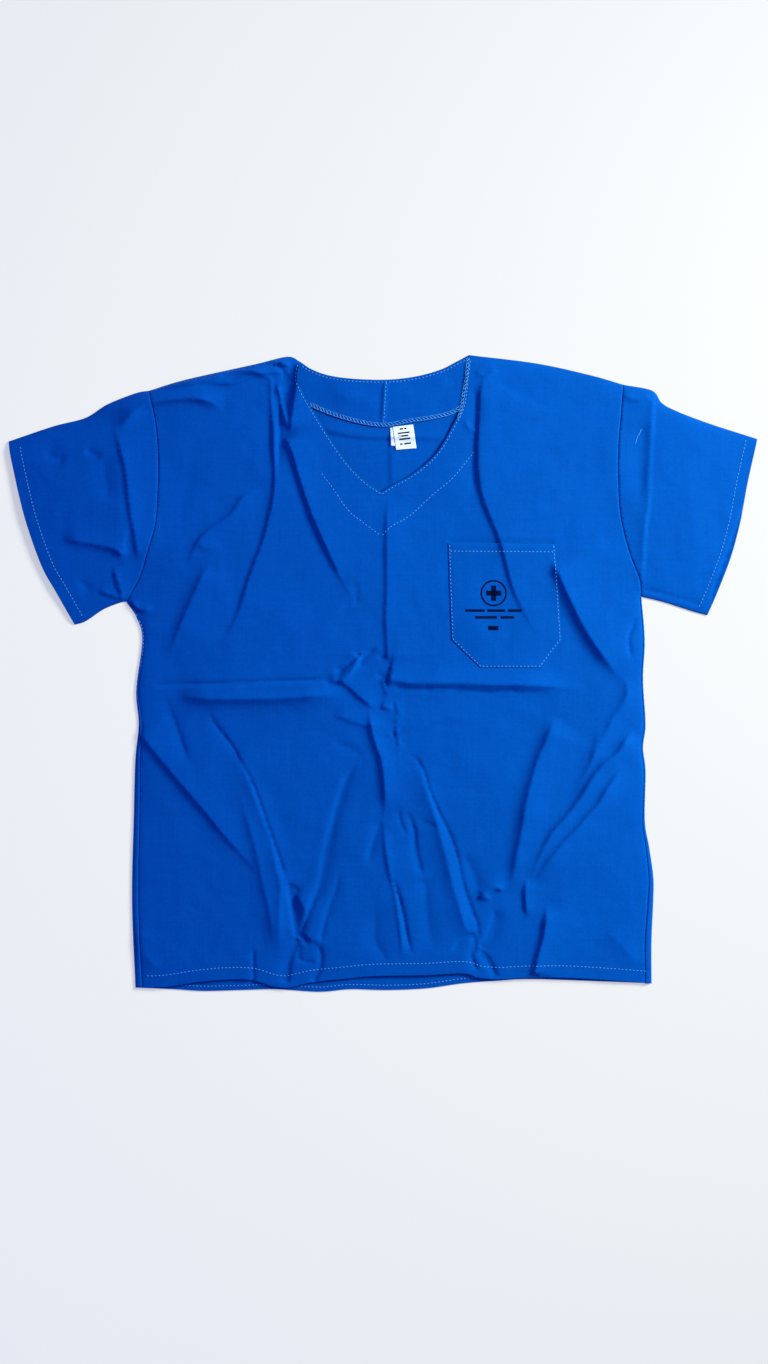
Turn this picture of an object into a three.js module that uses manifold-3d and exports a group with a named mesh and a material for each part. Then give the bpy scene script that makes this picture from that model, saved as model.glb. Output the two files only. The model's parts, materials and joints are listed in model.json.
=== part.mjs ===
// A short-sleeved, V-necked patient gown of woven cloth, lying face up with its sleeves spread.
// Millimetres. +X is towards the wearer's left, +Y towards the collar, +Z up from the table.
// The origin is on the table, under the middle of the gown.
import * as THREE from "three";
import { mergeVertices } from "three/addons/utils/BufferGeometryUtils.js";
import Module from "manifold-3d";

const wasm = await Module();
wasm.setup();

// ---- Driving dimensions ----
const CLOTH = 0.6; // one layer of the body cloth
const GAP = 0.3; // kept between pieces that lie on each other
const LIFT = 7.2; // height of the front layer's underside, so that the gown stands open
const TAPE = 0.3; // thickness of a label or of the print
const THREAD = 0.3; // height of a row of stitches
const STITCH = 0.8; // width of a row of stitches
const OVERLOCK = 5; // width of an overlocked edge
const SEAM_WALL = 1.6; // width of a sewn seam between the two layers
const SEAM_INSET = 2; // from the gown's outline to the middle of a seam
const HEM = 18; // depth of the body's turned-up hem
const CUFF_HEM = 15; // depth of the sleeves' turned-up hem
const EDGE_STITCH = 3; // from the neck edge to its top stitching
const FACING = 38; // width of the neck facing
const BACK_FACING = 55; // depth of the facing at the back of the neck
const CENTRE = 3; // where the facing halves meet, left of the middle of the spread
const POCKET_DEPTH = 4.6; // room inside the open pocket
const POCKET_HEM = 11; // depth of the hem at the pocket's mouth
const POCKET_RIM = 1.2; // width of the pocket's turned edge

// Heights of the layers' undersides
const Z = {
  backPanel: 0,
  backFacing: CLOTH + GAP,
  backThread: 2 * (CLOTH + GAP),
  frontFacing: LIFT - CLOTH - GAP,
  frontPanel: LIFT,
  frontThread: LIFT + CLOTH + GAP,
  pocket: LIFT + CLOTH + GAP,
};
Z.pocketFace = Z.pocket + POCKET_DEPTH;
Z.pocketThread = Z.pocketFace + CLOTH + GAP;

// ---- Outlines: each stretch runs through its points, and smooth ones are splines ----
const points = (list) => list.map(([x, y]) => new THREE.Vector2(x, y));
const smooth = (list, steps) => new THREE.SplineCurve(points(list)).getSpacedPoints(steps);

const rightNeck = [-103, 372];
const leftNeck = [103, 375];
const vPoint = [-1, 212];
const rightShoulder = [-274, 333];
const leftShoulder = [284, 339];
const rightUnderarm = [-301, 84];
const leftUnderarm = [305, 91];
const rightHemCorner = [-292, -371];
const leftHemCorner = [317, -364];

const rightNeckEdge = smooth([rightNeck, [-96, 339], [-68, 286], [-33, 240], vPoint], 12);
const leftNeckEdge = smooth([vPoint, [41, 239], [71, 268], [91, 301], [99, 344], leftNeck], 12);
const backNeckEdge = smooth([rightNeck, [-67, 355], [8, 347], [66, 357], leftNeck], 14);
const rightArmhole = smooth([rightUnderarm, [-278, 139], [-265, 206], [-266, 292], rightShoulder], 12);
const leftArmhole = smooth([leftShoulder, [278, 264], [280, 183], [291, 142], leftUnderarm], 12);
const rightSide = smooth([rightHemCorner, [-294, -220], [-288, -60], [-283, 36], rightUnderarm], 12);
const leftSide = smooth([leftUnderarm, [308, -60], [309, -172], [319, -255], leftHemCorner], 12);
const frontHem = smooth(
  [rightHemCorner, [-190, -362], [-117, -370], [-60, -359], [20, -356], [179, -358], leftHemCorner],
  20,
);
const backHem = smooth(
  [rightHemCorner, [-205, -374.5], [-67, -375], [9, -375], [122, -363], [190, -359], leftHemCorner],
  20,
);
const rightSleeveTop = smooth([rightShoulder, [-312, 323], [-369, 297], [-442, 275]], 8);
const rightCuff = smooth([[-442, 275], [-420, 181], [-363, 55]], 8);
const rightSleeveUnder = smooth([[-363, 55], [-330, 73], rightUnderarm], 5);
const leftSleeveTop = smooth([[442, 277], [387, 294], [322, 323], leftShoulder], 8);
const leftCuff = smooth([[383, 69], [421, 175], [442, 277]], 8);
const leftSleeveUnder = smooth([leftUnderarm, [349, 79], [383, 69]], 5);
const pocketEdge = points([[77, 153], [80, 42], [115, 6], [187, 6], [211, 40], [204, 153]]);

// ---- Geometry helpers ----
const reversed = (path) => [...path].reverse();
const loop = (...paths) => {
  const all = paths.flat();
  return all.filter((p, i) => p.distanceTo(all[(i + 1) % all.length]) > 0.01);
};

// The path moved to its left by a distance, corner by corner.
function offset(path, distance) {
  return path.map((p, i) => {
    const before = path[Math.max(i - 1, 0)];
    const after = path[Math.min(i + 1, path.length - 1)];
    const along = after.clone().sub(before).normalize();
    return new THREE.Vector2(p.x - along.y * distance, p.y + along.x * distance);
  });
}

// A flat piece of the given outline, from height z up.
function plate(outline, z, thickness = CLOTH) {
  const shape = new THREE.Shape(outline);
  return new THREE.ExtrudeGeometry(shape, { depth: thickness, bevelEnabled: false }).translate(0, 0, z);
}

// A flat strip that follows a path.
const strip = (path, width, z, thickness) =>
  plate(loop(offset(path, width / 2), reversed(offset(path, -width / 2))), z, thickness);

function solid(geometry) {
  const bare = geometry.index ? geometry.toNonIndexed() : geometry.clone();
  bare.deleteAttribute("normal");
  bare.deleteAttribute("uv");
  const merged = mergeVertices(bare, 1e-3);
  return new wasm.Manifold(
    new wasm.Mesh({
      numProp: 3,
      vertProperties: merged.attributes.position.array,
      triVerts: new Uint32Array(merged.index.array),
    }),
  );
}

function geometryOf(body) {
  const mesh = body.getMesh();
  const geometry = new THREE.BufferGeometry();
  geometry.setAttribute("position", new THREE.BufferAttribute(mesh.vertProperties, 3));
  geometry.setIndex(new THREE.BufferAttribute(mesh.triVerts, 1));
  geometry.computeVertexNormals();
  return geometry;
}

const join = (...parts) => geometryOf(parts.map(solid).reduce((whole, part) => whole.add(part)));
const common = (a, b) => geometryOf(solid(a).intersect(solid(b)));

// ---- Materials ----
const finish = (color, roughness) => new THREE.MeshStandardMaterial({ color, roughness, metalness: 0 });
const cloth = finish(0x0a56b8, 0.85);
const thread = finish(0x3f86d8, 0.7);
const tape = finish(0xe6eaee, 0.8);
const ink = finish(0x06091c, 0.9);

const gown = new THREE.Group();
function add(name, geometry, material) {
  const mesh = new THREE.Mesh(geometry, material);
  mesh.name = name;
  gown.add(mesh);
}

// ---- Body: two flat-cut panels with their hems turned to the inside ----
const neckEdge = [...rightNeckEdge, ...leftNeckEdge];
const frontOutline = loop(
  neckEdge, [new THREE.Vector2(...leftShoulder)], leftArmhole, leftSide,
  reversed(frontHem), rightSide, rightArmhole, [new THREE.Vector2(...rightShoulder)],
);
const backOutline = loop(
  backNeckEdge, leftArmhole, leftSide, reversed(backHem), rightSide, rightArmhole,
);

// A turned hem stops short of the side seams.
function turnedHem(edge, depth, z) {
  const inner = edge.slice(1, -1);
  return plate(loop(inner, reversed(offset(inner, depth))), z, CLOTH);
}

add("back_panel", join(plate(backOutline, Z.backPanel), turnedHem(backHem, HEM, CLOTH)), cloth);
add("front_panel", join(plate(frontOutline, Z.frontPanel), turnedHem(frontHem, HEM, LIFT - CLOTH)), cloth);

// ---- Sleeves: one folded piece each, with the fold along the top and the cuff turned inside ----
function sleeve(name, outline, foldEdge, cuffEdge) {
  const fold = offset(foldEdge, CLOTH / 2);
  const cuffBand = turnedHem(cuffEdge, CUFF_HEM, 0);
  add(
    name,
    join(
      plate(outline, Z.backPanel),
      plate(outline, Z.frontPanel),
      strip(fold, CLOTH, Z.backPanel, LIFT + CLOTH),
      cuffBand.clone().translate(0, 0, CLOTH),
      cuffBand.clone().translate(0, 0, LIFT - CLOTH),
    ),
    cloth,
  );
}

// The seam allowance at the armhole leaves a gap between the sleeve and the body.
const rightSleeveArmhole = offset(rightArmhole, GAP);
const leftSleeveArmhole = offset(leftArmhole, GAP);
sleeve(
  "right_sleeve",
  loop(
    rightSleeveTop.slice(1).map((p) => p.clone()),
    rightCuff, rightSleeveUnder.slice(0, -1), rightSleeveArmhole,
  ),
  rightSleeveTop.slice(1), rightCuff,
);
sleeve(
  "left_sleeve",
  loop(
    leftSleeveArmhole, leftSleeveUnder.slice(1), leftCuff, leftSleeveTop.slice(0, -1),
  ),
  leftSleeveTop.slice(0, -1), leftCuff,
);

// ---- Seams that join the two layers ----
const WALL_Z = CLOTH + GAP;
const WALL_HEIGHT = LIFT - CLOTH - 2 * GAP;
const wall = (path) => strip(path, SEAM_WALL, WALL_Z, WALL_HEIGHT);

add("right_side_seam", wall(offset(rightSide, -SEAM_INSET).slice(0, -1)), thread);
add("left_side_seam", wall(offset(leftSide, -SEAM_INSET).slice(1)), thread);
add("right_shoulder_seam", wall(offset(points([[-268, 334.4], [-146, 362]]), -SEAM_INSET)), thread);
add("left_shoulder_seam", wall(offset(points([[146, 368.6], [278, 340.4]]), -SEAM_INSET)), thread);
add("right_underarm_seam", wall(offset(rightSleeveUnder, SEAM_INSET).slice(1, -1)), thread);
add("left_underarm_seam", wall(offset(leftSleeveUnder, SEAM_INSET).slice(1, -1)), thread);

// A row of stitches that runs round inside both layers, as a flattened ring.
function ring(path, width, bottom, top) {
  const post = (end) =>
    new THREE.BoxGeometry(width, width, top - bottom).translate(end.x, end.y, (bottom + top) / 2);
  return join(
    strip(path, width, bottom, THREAD),
    strip(path, width, top - THREAD, THREAD),
    post(path[0]),
    post(path[path.length - 1]),
  );
}

const armholeRing = (path) => ring(path, OVERLOCK / 2, WALL_Z, LIFT - GAP);
add("right_armhole_seam", armholeRing(offset(rightArmhole, -SEAM_INSET * 2).slice(2, -1)), thread);
add("left_armhole_seam", armholeRing(offset(leftArmhole, -SEAM_INSET * 2).slice(1, -2)), thread);

const CUFF_RING = [2 * CLOTH + GAP, LIFT - CLOTH - GAP];
const cuffRing = (path) => ring(offset(path, CUFF_HEM - 2).slice(1, -1), STITCH, ...CUFF_RING);
add("right_cuff_stitch", cuffRing(rightCuff), thread);
add("left_cuff_stitch", cuffRing(leftCuff), thread);

// ---- Neck facing: two front halves mitred at the V, and two back halves ----
function frontFacing(edge, side) {
  const outer = offset(edge, -FACING);
  const [tip, before] = side < 0 ? [outer.at(-1), outer.at(-2)] : [outer[0], outer[1]];
  const slope = (tip.y - before.y) / (tip.x - before.x);
  const middle = vPoint[0] + (side * GAP) / 2;
  const mitre = new THREE.Vector2(middle, tip.y + slope * (middle - tip.x));
  const inner = edge.map((p) => new THREE.Vector2(side * Math.max(side * p.x, side * middle), p.y));
  const far = side < 0 ? [mitre, ...reversed(outer)] : [...reversed(outer), mitre];
  const band = plate(loop(inner, far), Z.frontFacing);
  return common(band, plate(frontOutline, Z.frontFacing - CLOTH, 3 * CLOTH));
}
const sewnNeck = (path) => path.map((p) => new THREE.Vector2(p.x, Math.min(p.y, 366)));
add("right_front_facing", frontFacing(sewnNeck(rightNeckEdge), -1), cloth);
add("left_front_facing", frontFacing(sewnNeck(leftNeckEdge), 1), cloth);

const backFacingEdge = smooth(
  [[-140, 362], [-118, 330], [-67, 355 - BACK_FACING + 4], [8, 347 - BACK_FACING],
    [66, 357 - BACK_FACING], [122, 337], [140, 368]],
  18,
);
function backFacing(side) {
  const whole = loop(backNeckEdge, reversed(backFacingEdge));
  const half = new THREE.BoxGeometry(400, 400, 10).translate(CENTRE + side * (200 + GAP / 2), 300, 0);
  const sewn = common(plate(whole, Z.backFacing), half);
  return common(sewn, plate(backOutline, 0, 3 * CLOTH));
}
add("right_back_facing", backFacing(-1), cloth);
add("left_back_facing", backFacing(1), cloth);

// ---- Rows of stitches on the neck ----
const row = (path, z, width = STITCH) => strip(path, width, z, THREAD);
const within = (path, low, high) => path.filter((p) => p.x > low && p.x < high);
const neckRow = [
  ...offset(rightNeckEdge, -EDGE_STITCH).slice(1, -1),
  new THREE.Vector2(vPoint[0], vPoint[1] - EDGE_STITCH * 1.4),
  ...offset(leftNeckEdge, -EDGE_STITCH).slice(1, -1),
];
add("neck_topstitch", row(neckRow, Z.frontThread), thread);
add("back_neck_topstitch", row(offset(backNeckEdge, -EDGE_STITCH).slice(1, -1), Z.backThread), thread);

const facingRow = [
  ...offset(rightNeckEdge, 2 - FACING).slice(3, -1),
  new THREE.Vector2(vPoint[0], vPoint[1] - 48),
  ...offset(leftNeckEdge, 2 - FACING).slice(1, -3),
];
add("facing_stitch", row(facingRow, Z.frontThread), thread);
add(
  "facing_overlock",
  row(within(offset(backFacingEdge, OVERLOCK / 2 + 0.5), -120, 124), Z.backThread, OVERLOCK),
  thread,
);
add(
  "facing_centre_seam",
  row(points([[CENTRE, 347 - BACK_FACING + 9], [CENTRE, 342]]), Z.backThread),
  thread,
);

// ---- Rows of stitches on the hems ----
add("front_hem_stitch", row(offset(frontHem, HEM - 2).slice(1, -1), Z.frontThread), thread);
add("back_hem_stitch", row(offset(backHem, HEM - 2).slice(2, -2), 2 * CLOTH + GAP), thread);

// ---- Chest pocket: a patch open at the top, standing a little open ----
const pocketMouth = [pocketEdge[5], pocketEdge[0]];
const inset = offset(pocketEdge, POCKET_RIM);
const pocketInner = [
  new THREE.Vector2(inset[0].x, pocketEdge[0].y + 5),
  ...inset.slice(1, -1),
  new THREE.Vector2(inset[5].x, pocketEdge[5].y + 5),
];
function pocket() {
  const block = solid(plate(pocketEdge, Z.pocket, POCKET_DEPTH + CLOTH));
  const room = solid(plate(pocketInner, Z.pocket - 1, POCKET_DEPTH + 1));
  const hem = plate(
    points([
      [inset[0].x + 1, pocketMouth[0].y - POCKET_HEM], [inset[5].x - 1, pocketMouth[0].y - POCKET_HEM],
      [inset[5].x - 1, pocketMouth[0].y], [inset[0].x + 1, pocketMouth[0].y],
    ]),
    Z.pocketFace - CLOTH, CLOTH + 0.1,
  );
  return geometryOf(block.subtract(room).add(solid(hem)));
}
add("chest_pocket", pocket(), cloth);
add("pocket_stitch", row(offset(pocketEdge, 2.4), Z.pocketThread), thread);
add(
  "pocket_hem_stitch",
  row(points([[82, 153 - POCKET_HEM + 1], [200, 153 - POCKET_HEM + 1]]), Z.pocketThread),
  thread,
);

// A printed mark: a ring round a cross, with the hospital's own lettering left off.
function mark() {
  const centre = [130, 95];
  const [outer, inner, arm] = [16, 13, 3];
  const circle = (radius) => {
    const shape = new THREE.Shape();
    shape.absarc(...centre, radius, 0, 2 * Math.PI);
    return shape.getPoints(24);
  };
  const ringPart = solid(plate(loop(circle(outer)), Z.pocketThread, TAPE)).subtract(
    solid(plate(loop(circle(inner)), Z.pocketThread - 1, TAPE + 2)),
  );
  const bar = (width, height) =>
    solid(new THREE.BoxGeometry(width, height, TAPE).translate(...centre, Z.pocketThread + TAPE / 2));
  return geometryOf(ringPart.add(bar(2 * inner + 1, arm * 2)).add(bar(arm * 2, 2 * inner + 1)));
}
add("pocket_print", mark(), ink);

// ---- Labels, sewn under the facing's lower edge and free to turn up ----
const LABEL_TOP = 289;
const label = (x, width, length, z) =>
  new THREE.BoxGeometry(width, length, TAPE).translate(x + width / 2, LABEL_TOP - length / 2, z + TAPE / 2);
add("size_label", label(9.5, 16, 21, CLOTH + GAP), tape);
add("care_label", label(13, 26.5, 27, CLOTH + 2 * GAP + TAPE), tape);

export default gown;
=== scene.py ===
"""The looks of a patient gown that lies face up on a table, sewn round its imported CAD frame."""
import json
import math

import bpy
import numpy as np
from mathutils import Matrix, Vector, noise
from mathutils.bvhtree import BVHTree
from mathutils.geometry import delaunay_2d_cdt
from mathutils.kdtree import KDTree


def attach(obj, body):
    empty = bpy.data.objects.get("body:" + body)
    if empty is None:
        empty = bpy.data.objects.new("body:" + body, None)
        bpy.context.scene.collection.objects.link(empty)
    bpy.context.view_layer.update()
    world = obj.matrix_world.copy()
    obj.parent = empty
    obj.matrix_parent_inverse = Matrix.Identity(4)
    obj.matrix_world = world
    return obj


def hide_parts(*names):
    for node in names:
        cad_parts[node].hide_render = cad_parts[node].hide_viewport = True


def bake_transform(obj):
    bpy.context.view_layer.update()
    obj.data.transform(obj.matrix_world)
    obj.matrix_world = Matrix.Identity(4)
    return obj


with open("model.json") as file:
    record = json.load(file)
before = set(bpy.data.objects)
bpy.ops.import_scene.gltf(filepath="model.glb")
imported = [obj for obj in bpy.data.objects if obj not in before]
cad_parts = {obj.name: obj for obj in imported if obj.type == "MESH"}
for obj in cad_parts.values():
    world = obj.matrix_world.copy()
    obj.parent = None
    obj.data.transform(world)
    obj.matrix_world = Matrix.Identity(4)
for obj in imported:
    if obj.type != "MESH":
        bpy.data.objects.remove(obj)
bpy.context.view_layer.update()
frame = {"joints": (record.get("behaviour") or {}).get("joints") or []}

bl_info = {
    "name": "Patient Gown",
    "version": (1, 0, 0),
    "blender": (4, 5, 0),
    "location": "View3D > Sidebar > Gown",
    "description": "Sews a short-sleeved V-necked patient gown, lying flat, round its frame",
    "category": "Object",
}

MM = 0.001  # the pattern below is drawn in millimetres, and Blender's pieces are in metres

# ---- The pattern: the gown's edges as it lies, +X to the wearer's left and +Y to the neck ----
NECK_RIGHT = [(-97, 367), (-99, 342), (-81, 308), (-60, 274), (-40, 246), (-20, 226), (-1, 213)]
NECK_LEFT = [
    (-1, 213), (11, 221), (33, 233), (57, 252), (71, 270), (84, 294), (94, 315), (99, 352), (102, 375),
]
NECK_BACK = [
    (-97, 367), (-83, 358), (-63, 351), (-34, 347), (6, 346), (40, 350), (69, 358), (89, 368),
    (102, 375),
]
SHOULDER_LEFT = [(102, 375), (182, 365), (246, 351), (284, 340)]
SHOULDER_RIGHT = [(-275, 333), (-232, 346), (-151, 364), (-112, 373), (-97, 367)]
ARMHOLE_LEFT = [
    (284, 340), (281, 306), (278, 263), (278, 220), (281, 182), (291, 142), (303, 110), (305, 90),
]
ARMHOLE_RIGHT = [(-302, 84), (-296, 94), (-285, 116), (-278, 139), (-268, 173), (-265, 205), (-264, 248),
                 (-267, 292), (-275, 333)]
SLEEVE_TOP_LEFT = [(284, 340), (318, 333), (330, 318), (349, 308), (386, 294), (442, 276)]
SLEEVE_TOP_RIGHT = [(-441, 273), (-388, 291), (-350, 301), (-324, 317), (-291, 330), (-275, 333)]
CUFF_LEFT = [(442, 276), (430, 223), (422, 180), (411, 138), (395, 96), (383, 68)]
CUFF_RIGHT = [(-363, 57), (-385, 96), (-402, 127), (-422, 185), (-437, 249), (-441, 273)]
UNDER_LEFT = [(383, 68), (368, 72), (349, 78), (330, 84), (305, 90)]
UNDER_RIGHT = [(-302, 84), (-309, 83), (-329, 75), (-350, 61), (-363, 57)]
SIDE_LEFT = [(305, 90), (309, 39), (307, -8), (310, -60), (307, -88), (310, -117), (309, -174), (314, -205),
             (319, -240), (319, -268), (317, -315), (317, -366)]
SIDE_RIGHT = [(-291, -371), (-295, -268), (-293, -174), (-291, -103), (-287, -60), (-290, -20), (-283, 39),
              (-290, 66), (-302, 84)]
HEM_FRONT = [
    (-291, -371), (-256, -370), (-217, -364), (-180, -361), (-153, -362), (-130, -369), (-113, -371),
    (-95, -367), (-80, -364), (-42, -360), (-8, -357), (51, -356), (95, -354), (113, -359), (136, -361),
    (176, -359), (215, -359), (267, -362), (317, -366),
]
HEM_BACK = [(-291, -371), (-245, -373), (-212, -375), (-169, -374), (-126, -373), (-75, -376), (-38, -373),
            (5, -374), (51, -372), (95, -366), (136, -363), (176, -361), (267, -364), (317, -366)]
FACING_LOWER = [
    (-128, 362), (-112, 332), (-81, 312), (-40, 297), (-1, 290), (33, 295), (74, 302), (98, 314),
    (118, 336), (128, 369),
]
FACING_SEAM = [(7, 346), (4, 340), (3, 319), (1, 291)]
FACING_ROW_RIGHT = [(-129, 346), (-110, 286), (-86, 250), (-63, 221), (-42, 191), (-20, 173), (-1, 159)]
FACING_ROW_LEFT = [(-1, 159), (11, 171), (33, 184), (59, 208), (81, 226), (99, 247), (112, 266), (122, 300)]
POCKET = [(77, 153), (79, 90), (81, 39), (115, 6), (186, 6), (211, 39), (207, 100), (203, 152)]
CARE_LABEL = [(12, 290), (36, 293), (40, 265), (16, 263)]
SIZE_LABEL = [(9, 289), (28, 290), (27, 267), (10, 268)]

# How far inside the outline the side seams lie, from the bottom of each side to its top
WRAP_RIGHT = [7.5, 7, 7, 6.5, 6, 4, 1.5, 1.2, 1.2]
WRAP_LEFT = [1.2, 1.2, 1.2, 1.2, 1.2, 1.5, 4, 6, 7.5, 7.5]

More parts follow.
